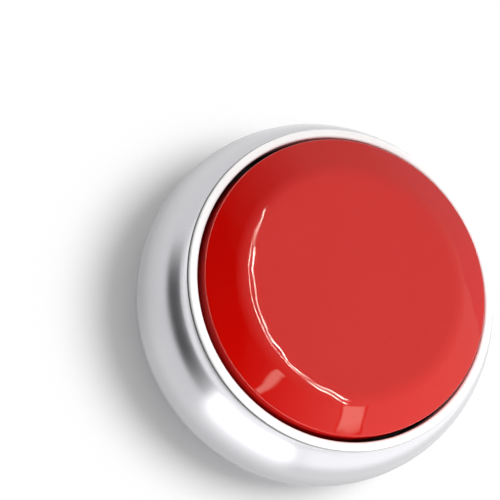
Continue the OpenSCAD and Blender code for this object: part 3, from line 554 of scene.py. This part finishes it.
def arc(centre, radius, start, end, steps=10):
    """Points of an arc, from start to end in degrees, 0 outwards and 90 up."""
    angles = [math.radians(start + (end - start) * i / steps) for i in range(steps + 1)]
    return [(centre[0] + radius * math.cos(a), centre[1] + radius * math.sin(a)) for a in angles]


def turn(mesh, outline, at=(0, 0), steps=48, closed=True):
    rings = []
    for radius, height in outline:
        count = steps if radius > 0 else 1
        rings.append([mesh.verts.new((
            (at[0] + radius * math.cos(FULL_TURN * k / steps)) * MM,
            (at[1] + radius * math.sin(FULL_TURN * k / steps)) * MM,
            height * MM)) for k in range(count)])
    if closed and len(rings[0]) > 1:
        rings.append(rings[0])
    for low, high in zip(rings, rings[1:]):
        for k in range(steps):
            corners = [low[k % len(low)], low[(k + 1) % steps % len(low)],
                high[(k + 1) % steps % len(high)], high[k % len(high)]]
            mesh.faces.new(list(dict.fromkeys(corners)))


def finish_piece(mesh, name, node_name, sharp=28):
    """Makes an object of a bmesh, smooth up to the sharp angle, that stands for a CAD node."""
    bmesh.ops.recalc_face_normals(mesh, faces=mesh.faces)
    data = bpy.data.meshes.new(name)
    mesh.to_mesh(data)
    mesh.free()
    data.polygons.foreach_set("use_smooth", [True] * len(data.polygons))
    data.set_sharp_from_angle(angle=math.radians(sharp))
    obj = bpy.data.objects.new(name, data)
    bpy.context.scene.collection.objects.link(obj)
    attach(obj, nodes[node_name]["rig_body"])
    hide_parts(node_name)
    dress(obj, slots[node_name])
    print(name, "faces:", len(data.polygons))
    return obj


# %% [markdown]
# ## Silver body
# One arc makes the whole side of the body, from the seam with the bottom cover up to the collar.
# The collar draws in a little towards its flat top, where the white ring lies. The CAD mesh has
# fewer sides than this one, so the arc is drawn a hair smaller to stay inside its box.

# %% Silver body
SEAM_Z = 4.4
COLLAR_FOOT_R, COLLAR_TOP_R, COLLAR_BORE_R = 41.0, 40.0, 38.35
COLLAR_FOOT_Z = ARC_CENTRE[1] + math.sqrt(ARC_R ** 2 - (COLLAR_FOOT_R - ARC_CENTRE[0]) ** 2)
COLLAR_HEIGHT, COLLAR_EDGE, BORE_EDGE, SHELF_DROP = 1.9, 0.4, 0.15, 3.7
COLLAR_Z = COLLAR_FOOT_Z + COLLAR_HEIGHT
SHELF_Z = COLLAR_Z - SHELF_DROP
HAIR = 0.02
ROUND_STEPS = 240


def arc_angle(height, radius):
    return math.degrees(math.asin((height - ARC_CENTRE[1]) / radius))


def body_outline():
    outer_r, inner_r = ARC_R - HAIR, ARC_R - WALL
    side = arc(ARC_CENTRE, outer_r, arc_angle(SEAM_Z, outer_r),
        arc_angle(COLLAR_FOOT_Z, outer_r), 56)
    edge = arc((COLLAR_TOP_R - COLLAR_EDGE, COLLAR_Z - COLLAR_EDGE), COLLAR_EDGE, 32, 90, 6)
    inside = arc(ARC_CENTRE, inner_r, arc_angle(SHELF_Z, inner_r), arc_angle(SEAM_Z, inner_r), 24)
    return side + edge + [(COLLAR_BORE_R + BORE_EDGE, COLLAR_Z), (COLLAR_BORE_R, COLLAR_Z - BORE_EDGE),
        (COLLAR_BORE_R, SHELF_Z)] + inside


def silver_body():
    mesh = bmesh.new()
    turn(mesh, body_outline(), steps=ROUND_STEPS)
    return finish_piece(mesh, "silver_body", "upper_housing")


silver_body()

# %% [markdown]
# ## White ring
# The ring is an angle in section: a flange on the collar's top and a skirt down its bore. Both
# upper edges are rounded, which is where its thin highlights come from.

# %% White ring
RING_R, RING_BORE_R, RING_SKIRT_R = 39.6, 37.55, 38.25
RING_FLANGE, RING_SKIRT = 1.0, 3.2
RING_Z = COLLAR_Z + RING_FLANGE
RING_ROUND, RING_LEAD_IN = 0.35, 0.6
SEAT_GAP = 0.05


def white_ring():
    mesh = bmesh.new()
    low, seat = COLLAR_Z - RING_SKIRT, COLLAR_Z + SEAT_GAP
    turn(mesh, [(RING_BORE_R, low), (RING_SKIRT_R, low), (RING_SKIRT_R, seat), (RING_R, seat)]
        + arc((RING_R - RING_ROUND, RING_Z - RING_ROUND), RING_ROUND, 0, 90, 8)
        + arc((RING_BORE_R + RING_LEAD_IN, RING_Z - RING_LEAD_IN), RING_LEAD_IN, 90, 180, 10),
        steps=ROUND_STEPS)
    return finish_piece(mesh, "white_ring", "bezel_ring")


ring = white_ring()

# %% [markdown]
# ## Red cap
# From the middle outwards the cap is a flat top, a wide soft blend, a sloped band, a small round
# and a straight wall that goes down inside the ring. Inside it carries a plunger, three guide
# posts and six ribs, which are closed forms of their own that reach into the roof.

# %% Outline of the cap
CAP_R, CAP_WALL = 36.5, 2.0
SLOPE_WIDTH, SLOPE_DROP, RIM_RISE, RIM_ROUND = 8.5, 3.3, 1.8, 0.5
TOP_Z = RING_Z + RIM_RISE + SLOPE_DROP
CROWN, CROWN_START, BLEND_START = 3.0, 24.8, 26.5
SLOPE = math.degrees(math.atan(SLOPE_DROP / SLOPE_WIDTH))
SKIRT_Z = 28.0


def cap_outside():
    """From the axis over the crowned edge, the blend, the slope and the rim to the foot."""
    slope, crown = math.radians(SLOPE), math.radians(CROWN)
    crown_r = (BLEND_START - CROWN_START) / math.sin(crown)
    blend_top = TOP_Z - crown_r * (1 - math.cos(crown))
    plateau_r = CAP_R - SLOPE_WIDTH
    reach = (plateau_r - BLEND_START) * math.tan(slope) + (TOP_Z - blend_top)
    blend_r = reach / ((math.sin(slope) - math.sin(crown)) * math.tan(slope)
        - (math.cos(crown) - math.cos(slope)))
    blend_centre = (BLEND_START - blend_r * math.sin(crown), blend_top - blend_r * math.cos(crown))
    rim_x = CAP_R - RIM_ROUND
    rim_centre = (rim_x, TOP_Z - (rim_x + RIM_ROUND * math.sin(slope) - plateau_r)
        * math.tan(slope) - RIM_ROUND * math.cos(slope))
    print("the blend's radius is", round(blend_r, 2), "mm")
    return ([(CROWN_START * i / 8, TOP_Z) for i in range(8)]
        + arc((CROWN_START, TOP_Z - crown_r), crown_r, 90, 90 - CROWN, 6)
        + arc(blend_centre, blend_r, 90 - CROWN, 90 - SLOPE, 16)[1:]
        + arc(rim_centre, RIM_ROUND, 90 - SLOPE, 0, 8) + [(CAP_R, SKIRT_Z)])


def cap_inside():
    """The same line one wall further in, without the roundings."""
    radius = CAP_R - CAP_WALL
    low = TOP_Z - CAP_WALL - SLOPE_WIDTH * math.tan(math.radians(SLOPE))
    return [(radius, SKIRT_Z), (radius, low), (CAP_R - SLOPE_WIDTH, TOP_Z - CAP_WALL),
        (0, TOP_Z - CAP_WALL)]


print("cap:", 2 * CAP_R, "mm wide, top at", round(TOP_Z, 2), "mm")

# %% Red cap
POST_PITCH_R, POST_R, POST_Z = 26.0, 2.4, 22.3
POST_ANGLES = (30, 150, 270)
SPRING_TOP_Z, SPRING_SEAT_R = 33.0, 4.05
PLUNGER_R, PLUNGER_Z = 3.0, 21.5
RIB_WIDTH, RIB_RISE = 2.0, 1.0
ROOF_BITE = 0.5


def pillar_outline(*steps):
    """A closed pillar of one or more (radius, from height, to height)."""
    points = [(0, steps[0][1])]
    for radius, low, high in steps:
        points += [(radius, low), (radius, high)]
    return points + [(0, steps[-1][2])]


def red_cap():
    mesh = bmesh.new()
    turn(mesh, cap_outside() + cap_inside(), steps=ROUND_STEPS)
    roof = TOP_Z - CAP_WALL + ROOF_BITE
    turn(mesh, pillar_outline((PLUNGER_R, PLUNGER_Z, roof)))
    for angle in POST_ANGLES:
        a = math.radians(angle)
        at = (POST_PITCH_R * math.cos(a), POST_PITCH_R * math.sin(a))
        turn(mesh, pillar_outline((POST_R, POST_Z, SPRING_TOP_Z),
            (SPRING_SEAT_R, SPRING_TOP_Z, roof)), at=at)
    for angle in range(30, 390, 60):
        rib = bmesh.ops.create_cube(mesh, size=1)["verts"]
        low = SPRING_TOP_Z + RIB_RISE
        bmesh.ops.scale(mesh, verts=rib,
            vec=(POST_PITCH_R * MM, RIB_WIDTH * MM, (roof - low) * MM))
        bmesh.ops.translate(mesh, verts=rib,
            vec=(POST_PITCH_R / 2 * MM, 0, (roof + low) / 2 * MM))
        bmesh.ops.rotate(mesh, verts=rib, matrix=Matrix.Rotation(math.radians(angle), 3, "Z"))
    return finish_piece(mesh, "red_cap", "button_cap")


cap = red_cap()

# %% [markdown]
# ## Wound wire
# A spring is round wire along a coil. One helper sweeps a circle along a list of points, carrying
# its frame from point to point so that the wire never twists, and closes both ends. Another gives
# the points of the coil.

# %% Wire along a path
def sweep(mesh, path, radius, sides=12):
    points = [Vector(p) for p in path]
    count = len(points)
    along = [(points[min(i + 1, count - 1)] - points[max(i - 1, 0)]).normalized()
        for i in range(count)]
    across = along[0].orthogonal().normalized()
    rings = []
    for point, direction in zip(points, along):
        across = (across - across.dot(direction) * direction).normalized()
        third = direction.cross(across)
        rings.append([mesh.verts.new((point + radius * (
            math.cos(FULL_TURN * k / sides) * across
            + math.sin(FULL_TURN * k / sides) * third)) * MM) for k in range(sides)])
    for low, high in zip(rings, rings[1:]):
        for k in range(sides):
            mesh.faces.new((low[k], low[(k + 1) % sides], high[(k + 1) % sides], high[k]))
    mesh.faces.new(rings[0][::-1])
    mesh.faces.new(rings[-1])


def coil(x, y, low, high, radius, turns, steps=24):
    """Points of an upright coil round (x, y) from the height low to high."""
    count = turns * steps
    angles = [FULL_TURN * i / steps for i in range(count + 1)]
    return [(x + radius * math.cos(a), y + radius * math.sin(a), low + (high - low) * i / count)
        for i, a in enumerate(angles)]


# %% [markdown]
# ## Return springs and rubber dome
# Both give way under the button. The springs are wound round the guide posts; the dome folds
# over its contact on the board. Each is given a copy of its mesh of its own.

# %% Return springs and dome
SPRING_FOOT_Z, SPRING_LENGTH = 24.55, 8.4
SPRING_R, SPRING_WIRE, SPRING_TURNS = 3.35, 0.7, 6
BOARD_TOP = 18.1
DOME_FOOT_Z, DOME_TOP_Z = BOARD_TOP + SEAT_GAP, 21.3
DOME_R, DOME_BORE_R, DOME_CROWN_R = 6.9, 5.1, 3.9
DOME_ROOF, DOME_FLANGE = 1.4, 0.9


def return_springs():
    mesh = bmesh.new()
    for angle in POST_ANGLES:
        a = math.radians(angle)
        x, y = POST_PITCH_R * math.cos(a), POST_PITCH_R * math.sin(a)
        low = SPRING_FOOT_Z + SPRING_WIRE / 2
        high = SPRING_FOOT_Z + SPRING_LENGTH - SPRING_WIRE / 2
        sweep(mesh, coil(x, y, low, high, SPRING_R, SPRING_TURNS), SPRING_WIRE / 2)
    return finish_piece(mesh, "coil_springs", "return_springs")


def rubber_dome():
    """The hollow from the middle down to the foot, and back over the outside to the middle."""
    roof, flange = DOME_TOP_Z - DOME_ROOF, DOME_FOOT_Z + DOME_FLANGE
    hollow = [(0, roof), (2.5, roof), (2.9, roof - 0.1), (DOME_BORE_R, flange),
        (DOME_BORE_R, DOME_FOOT_Z)]
    outside = [(DOME_R, DOME_FOOT_Z), (DOME_R, flange - 0.25), (DOME_R - 0.3, flange - 0.05),
        (DOME_R - 0.8, flange), (DOME_CROWN_R, DOME_TOP_Z - 0.35),
        (DOME_CROWN_R - 0.3, DOME_TOP_Z - 0.08), (DOME_CROWN_R - 0.7, DOME_TOP_Z), (0, DOME_TOP_Z)]
    mesh = bmesh.new()
    turn(mesh, hollow + outside, steps=64)
    return finish_piece(mesh, "rubber_dome", "switch_dome")


def pressed(obj):
    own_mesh(obj)


pressed(return_springs())
pressed(rubber_dome())

# %% [markdown]
# ## Floor
# The clock stands on a white floor that runs to the horizon. The floor keeps the soft shadow, and
# far from the clock it is lifted to plain white. Seen from below the floor isn't there, and it
# lets the light of a lamp below pass, so that the underside can be looked at too.

# %% Floor finish
FLOOR_WHITE = 0.93
FLOOR_LIFT, LIFT_START, LIFT_FULL = 0.01, 120, 500


def seen_rays(tree):
    """1 for the rays that show a background: to the camera, in gloss and through glass."""
    rays = add_node(tree, "ShaderNodeLightPath").outputs
    mirrored = math_node(tree, "MAXIMUM", rays["Is Glossy Ray"], rays["Is Transmission Ray"])
    return math_node(tree, "MAXIMUM", rays["Is Camera Ray"], mirrored), rays


def floor_finish():
    finish = bpy.data.materials.new("studio_floor")
    finish.use_nodes = True
    tree = finish.node_tree
    tree.nodes.clear()
    seen, rays = seen_rays(tree)
    diffuse = add_node(tree, "ShaderNodeBsdfDiffuse", {"Color": colour4([FLOOR_WHITE] * 3)})
    place = add_node(tree, "ShaderNodeTexCoord").outputs["Object"]
    distance = add_node(tree, "ShaderNodeVectorMath", {0: place},
        operation="LENGTH").outputs["Value"]
    far = add_node(tree, "ShaderNodeMapRange", {"Value": distance,
        "From Min": LIFT_START * MM, "From Max": LIFT_FULL * MM,
        "To Min": FLOOR_LIFT, "To Max": 1.0}).outputs[0]
    lift = add_node(tree, "ShaderNodeEmission",
        {"Strength": math_node(tree, "MULTIPLY", seen, far)})
    lit = add_node(tree, "ShaderNodeAddShader", {0: diffuse.outputs[0], 1: lift.outputs[0]})
    back = add_node(tree, "ShaderNodeNewGeometry").outputs["Backfacing"]
    away = math_node(tree, "MAXIMUM", back, rays["Is Shadow Ray"])
    clear = add_node(tree, "ShaderNodeBsdfTransparent")
    mix = add_node(tree, "ShaderNodeMixShader", {0: away, 1: lit.outputs[0],
        2: clear.outputs[0]})
    add_node(tree, "ShaderNodeOutputMaterial", {"Surface": mix.outputs[0]})
    return finish


# %% Floor
FLOOR_HALF, FLOOR_DROP = 4000, 0.02


def stage_piece(mesh, name, finish):
    """Makes an object of a bmesh that belongs to the studio, not to the clock."""
    data = bpy.data.meshes.new(name)
    mesh.to_mesh(data)
    mesh.free()
    data.materials.append(finish)
    piece = bpy.data.objects.new(name, data)
    bpy.context.scene.collection.objects.link(piece)
    return piece


def make_floor():
    mesh = bmesh.new()
    bmesh.ops.create_grid(mesh, x_segments=1, y_segments=1, size=FLOOR_HALF * MM)
    piece = stage_piece(mesh, "studio_floor", floor_finish())
    piece.location.z = -FLOOR_DROP * MM
    return piece


floor = make_floor()
print("floor:", [round(side, 1) for side in floor.dimensions], "m")

# %% [markdown]
# ## World
# The world is plain white to look at and in reflections, and gives only a part of that as light.
# So the lamps decide the shading, and the background stays white.

# %% World
SKY = 0.27


def make_world():
    world = bpy.data.worlds.new("studio")
    bpy.context.scene.world = world
    world.use_nodes = True
    tree = world.node_tree
    tree.nodes.clear()
    seen, _ = seen_rays(tree)
    strength = math_node(tree, "MULTIPLY_ADD", seen, 1.0 - SKY, SKY)
    sky = add_node(tree, "ShaderNodeBackground",
        {"Color": colour4((1, 1, 1)), "Strength": strength})
    add_node(tree, "ShaderNodeOutputWorld", {"Surface": sky.outputs[0]})
    return world


print("world:", make_world().name)

# %% [markdown]
# ## Lamps
# Two large soft lamps light the clock. The main one stands behind it and high up. The second one
# stands low at the right, and makes that side of the red band brighter. Flags keep both off the
# floor, which light linking does in Blender. Two more lamps are for the floor alone: one draws the
# soft shadow to the lower left, and a wide one overhead keeps that shadow short. One fills the
# white ring's inner side, and the last stands below the floor and lights the underside.

# %% Lamps
TARGET = Vector((0, 0, 30 * MM))


def toward(azimuth, elevation):
    """A direction: azimuth in degrees from +Y towards +X, elevation above the table."""
    a, e = math.radians(azimuth), math.radians(elevation)
    return Vector((math.sin(a) * math.cos(e), math.cos(a) * math.cos(e), math.sin(e)))


def soft_lamp(name, azimuth, elevation, distance, size, level):
    """A round lamp. Its level is how bright it makes white paper that faces it, 1 being white."""
    data = bpy.data.lights.new(name, "AREA")
    data.shape = "DISK"
    data.size = size
    data.energy = level * (math.pi * distance) ** 2
    lamp = bpy.data.objects.new(name, data)
    bpy.context.scene.collection.objects.link(lamp)
    direction = toward(azimuth, elevation)
    lamp.location = TARGET + distance * direction
    lamp.rotation_mode = "QUATERNION"
    lamp.rotation_quaternion = direction.to_track_quat("Z", "Y")
    lamp.visible_glossy = False
    lamp.visible_camera = False
    return lamp


def light_link(light, pieces, state):
    """state is INCLUDE to light only these pieces, and EXCLUDE to light all others."""
    chosen = bpy.data.collections.new(light.name + "_link")
    for piece in pieces:
        chosen.objects.link(piece)
    for member in chosen.collection_objects:
        member.light_linking.link_state = state
    light.light_linking.receiver_collection = chosen


light_link(soft_lamp("key_lamp", -20, 74, 2.0, 1.1, 0.54), [floor], "EXCLUDE")
light_link(soft_lamp("side_lamp", 105, 20, 1.0, 0.5, 0.78), [floor], "EXCLUDE")
light_link(soft_lamp("floor_lamp", 35, 74, 2.0, 1.0, 0.60), [floor], "INCLUDE")
light_link(soft_lamp("floor_fill", 0, 88, 1.0, 2.4, 0.76), [floor], "INCLUDE")
light_link(soft_lamp("ring_lamp", 165, 64, 2.0, 0.8, 0.30), [ring], "INCLUDE")
soft_lamp("under_lamp", 150, -70, 0.8, 0.6, 0.6)
print("lamps:", [lamp.name for lamp in bpy.data.lights])

# %% [markdown]
# ## Cards
# Shiny pieces show their surroundings more than their own colour, so a photographer hangs cards
# round them. Here a card is a mesh that glows, shows only in gloss, and lights nothing else.
# The first is a ceiling, white on one side and black on the other, which gives the red band its
# light and dark halves.

# %% Ceiling card
CARD_HEIGHT = 650
CEILING_ABOVE, CEILING_HALF = 20, 1600
WARM_WHITE, LAMP_WHITE = (1.0, 0.97, 0.88), (1.0, 0.90, 0.76)
TOWARDS_BLACK, TOWARDS_RIGHT = (-0.493, -0.869, 0), (1, 0, 0)


def only_in_gloss(piece):
    for ray in ("camera", "diffuse", "transmission", "volume_scatter", "shadow"):
        setattr(piece, "visible_" + ray, False)


def glow_finish(name, strength=1.0, colour=(1, 1, 1)):
    """An emission material. Returns it with its tree, its emission node and its coordinates."""
    finish = bpy.data.materials.new(name)
    finish.use_nodes = True
    tree = finish.node_tree
    tree.nodes.clear()
    glow = add_node(tree, "ShaderNodeEmission", {"Color": colour4(colour), "Strength": strength})
    add_node(tree, "ShaderNodeOutputMaterial", {"Surface": glow.outputs[0]})
    return finish, tree, glow, add_node(tree, "ShaderNodeTexCoord").outputs["Object"]


def ramp_along(tree, place, direction, start, end, first, last):
    """Goes from the value first at start to last at end, in mm along a direction."""
    along = add_node(tree, "ShaderNodeVectorMath", {0: place, 1: direction},
        operation="DOT_PRODUCT").outputs["Value"]
    return add_node(tree, "ShaderNodeMapRange", {"Value": along, "From Min": start * MM,
        "From Max": end * MM, "To Min": first, "To Max": last}).outputs[0]


def ceiling_card():
    """White towards the back right, black towards the front left."""
    finish, tree, glow, place = glow_finish("ceiling_glow", colour=WARM_WHITE)
    to_black = ramp_along(tree, place, TOWARDS_BLACK, -300, 240, 1.25, 0.0)
    to_right = ramp_along(tree, place, TOWARDS_RIGHT, -900, 700, 0.65, 1.2)
    tree.links.new(math_node(tree, "MULTIPLY", to_black, to_right), glow.inputs["Strength"])
    mesh = bmesh.new()
    bmesh.ops.create_grid(mesh, x_segments=1, y_segments=1, size=CEILING_HALF * MM)
    card = stage_piece(mesh, "ceiling_card", finish)
    card.location.z = (CARD_HEIGHT + CEILING_ABOVE) * MM
    only_in_gloss(card)
    return card


print("cards:", ceiling_card().name)

# %% [markdown]
# ## Tubes, window and rim light
# Under the ceiling hang two bent tubes, which draw the double line along the edge of the cap's
# top, and two small cards for a pale patch and a streak on the band. A low wall in front draws the
# thin line along the rim. All five are for the cap alone, so that they leave no glints elsewhere.
# The tubes are brighter in some stretches than in others, and the small cards fade at their edges.

# %% Ribbons
def ribbon(edges):
    """A bmesh of faces between pairs of points, which are in mm."""
    mesh = bmesh.new()
    pairs = [[mesh.verts.new(point * MM) for point in edge] for edge in edges]
    for first, second in zip(pairs, pairs[1:]):
        mesh.faces.new((*first, *second[::-1]))
    return mesh


def hang(mesh, name, finish, height=0):
    card = stage_piece(mesh, name, finish)
    card.location.z = height * MM
    only_in_gloss(card)
    light_link(card, [cap], "INCLUDE")
    return card


def flat_edges(path, width):
    """Pairs of points across a path of (x, y), half the width to either side."""
    points = [Vector((x, y, 0)) for x, y in path]
    last = len(points) - 1
    for i, point in enumerate(points):
        run = (points[min(i + 1, last)] - points[max(i - 1, 0)]).normalized()
        across = Vector((-run.y, run.x, 0)) * width / 2
        yield point + across, point - across


# %% Tubes
OUTER_TUBE = ((-205, 236), (-104, 234), (-17, 234), (43, 190), (107, 152), (213, 113), (330, 76))
INNER_TUBE = ((-145, 206), (-87, 188), (-15, 176), (50, 136), (133, 98), (279, 50), (406, 28))
TUBE_WIDTH, TUBE_STRENGTH, TUBE_DIM = 8, 90, 0.04
TUBE_PATCH, PATCH_LOW, PATCH_HIGH = 45, -0.35, 1.5


def tube_card(name, path):
    finish, tree, glow, place = glow_finish(name, colour=LAMP_WHITE)
    patches = add_group(tree, SMUDGES, Place=place, Size=TUBE_PATCH * MM, Low=PATCH_LOW,
        High=PATCH_HIGH)
    lit = math_node(tree, "MAXIMUM", patches.outputs[0], TUBE_DIM)
    tree.links.new(math_node(tree, "MULTIPLY", lit, TUBE_STRENGTH), glow.inputs["Strength"])
    return hang(ribbon(flat_edges(path, TUBE_WIDTH)), name, finish, CARD_HEIGHT)


print("cards:", tube_card("outer_tube", OUTER_TUBE).name, tube_card("inner_tube", INNER_TUBE).name)

# %% Window and streak
WINDOW_STRENGTH = 4.6


def fading_card(name, start, end, width, soft):
    """A straight card from start to end that fades over soft mm towards its four edges."""
    finish, tree, glow, place = glow_finish(name, colour=LAMP_WHITE)
    start, end = Vector((*start, 0)), Vector((*end, 0))
    ahead = (end - start).normalized()
    aside = Vector((-ahead.y, ahead.x, 0))
    offset = add_node(tree, "ShaderNodeVectorMath",
        {0: place, 1: tuple((start + end) / 2 * MM)}, operation="SUBTRACT").outputs[0]
    fade = WINDOW_STRENGTH
    for axis, half in ((ahead, (end - start).length / 2), (aside, width / 2)):
        reach = add_node(tree, "ShaderNodeVectorMath", {0: offset, 1: tuple(axis)},
            operation="DOT_PRODUCT").outputs["Value"]
        near = add_node(tree, "ShaderNodeMapRange",
            {"Value": math_node(tree, "ABSOLUTE", reach), "From Min": half * MM,
                "From Max": (half - soft) * MM}, interpolation_type="SMOOTHSTEP").outputs[0]
        fade = math_node(tree, "MULTIPLY", near, fade)
    tree.links.new(fade, glow.inputs["Strength"])
    edges = flat_edges(((start.x, start.y), (end.x, end.y)), width)
    return hang(ribbon(edges), name, finish, CARD_HEIGHT)


window = fading_card("window_card", (468, -46), (544, 76), width=138, soft=30)
spot = fading_card("spot_card", (148, -138), (178, -316), width=50, soft=20)
print("cards:", window.name, spot.name)

# %% Rim light
WALL_R, WALL_LOW, WALL_HIGH = 700, 40, 160
WALL_START, WALL_END, WALL_STEPS = 120, 285, 24
WALL_STRENGTH = 6


def wall_edges():
    for i in range(WALL_STEPS + 1):
        foot = WALL_R * toward(WALL_START + (WALL_END - WALL_START) * i / WALL_STEPS, 0)
        yield [foot + Vector((0, 0, height)) for height in (WALL_LOW, WALL_HIGH)]


rim_light = hang(ribbon(wall_edges()), "horizon_card",
    glow_finish("horizon_glow", WALL_STRENGTH, LAMP_WHITE)[0])
print("cards:", rim_light.name)

# %% [markdown]
# ## Card on the floor
# The silver body looks down at the floor all round. A ring-shaped card on the floor is plain white
# there, apart from a few zones: a black one and a bright one make the dark and the blown patch on
# the body, a milder one lifts its right side, and two faint ones shade the part near the foot. A
# zone is a sector of azimuths times a belt of distances.

# %% Floor card
FLOOR_CARD = ((45, 0.1), (310, 0.1))


def sector(tree, place, azimuth, half, soft):
    """1 within half degrees of an azimuth and 0 from soft degrees further on."""
    unit = add_node(tree, "ShaderNodeVectorMath", {0: place}, operation="NORMALIZE").outputs[0]
    cosine = add_node(tree, "ShaderNodeVectorMath", {0: unit, 1: tuple(toward(azimuth, 0))},
        operation="DOT_PRODUCT").outputs["Value"]
    return add_node(tree, "ShaderNodeMapRange",
        {"Value": cosine, "From Min": math.cos(math.radians(half + soft)),
            "From Max": math.cos(math.radians(half))}, interpolation_type="SMOOTHSTEP").outputs[0]


def belt(tree, place, start, full, leave, end):
    """1 between the radii full and leave, and 0 before start and past end, all in mm."""
    radius = add_node(tree, "ShaderNodeVectorMath", {0: place},
        operation="LENGTH").outputs["Value"]
    rise, fall = (add_node(tree, "ShaderNodeMapRange",
        {"Value": radius, "From Min": low * MM, "From Max": high * MM},
        interpolation_type="SMOOTHSTEP").outputs[0] for low, high in ((start, full), (end, leave)))
    return math_node(tree, "MULTIPLY", rise, fall)


def floor_card():
    finish, tree, glow, place = glow_finish("floor_glow")
    zones = (
        (sector(tree, place, -153, 6, 34), belt(tree, place, 92, 108, 205, 225), -0.98),
        (sector(tree, place, 151, 14, 11), belt(tree, place, 56, 108, 220, 245), 1.8),
        (sector(tree, place, 80, 38, 20), belt(tree, place, 70, 95, 220, 245), 0.6),
        (sector(tree, place, -110, 25, 30), belt(tree, place, 40, 44, 60, 80), -0.16),
        (1.0, belt(tree, place, 30, 35, 46, 64), -0.32))
    strength = 1.0
    for direction, distance, change in zones:
        zone = math_node(tree, "MULTIPLY", direction, distance)
        strength = math_node(tree, "MULTIPLY_ADD", zone, change, strength)
    tree.links.new(strength, glow.inputs["Strength"])
    mesh = bmesh.new()
    turn(mesh, FLOOR_CARD, steps=96, closed=False)
    card = stage_piece(mesh, "floor_card", finish)
    only_in_gloss(card)
    return card


print("cards:", floor_card().name)
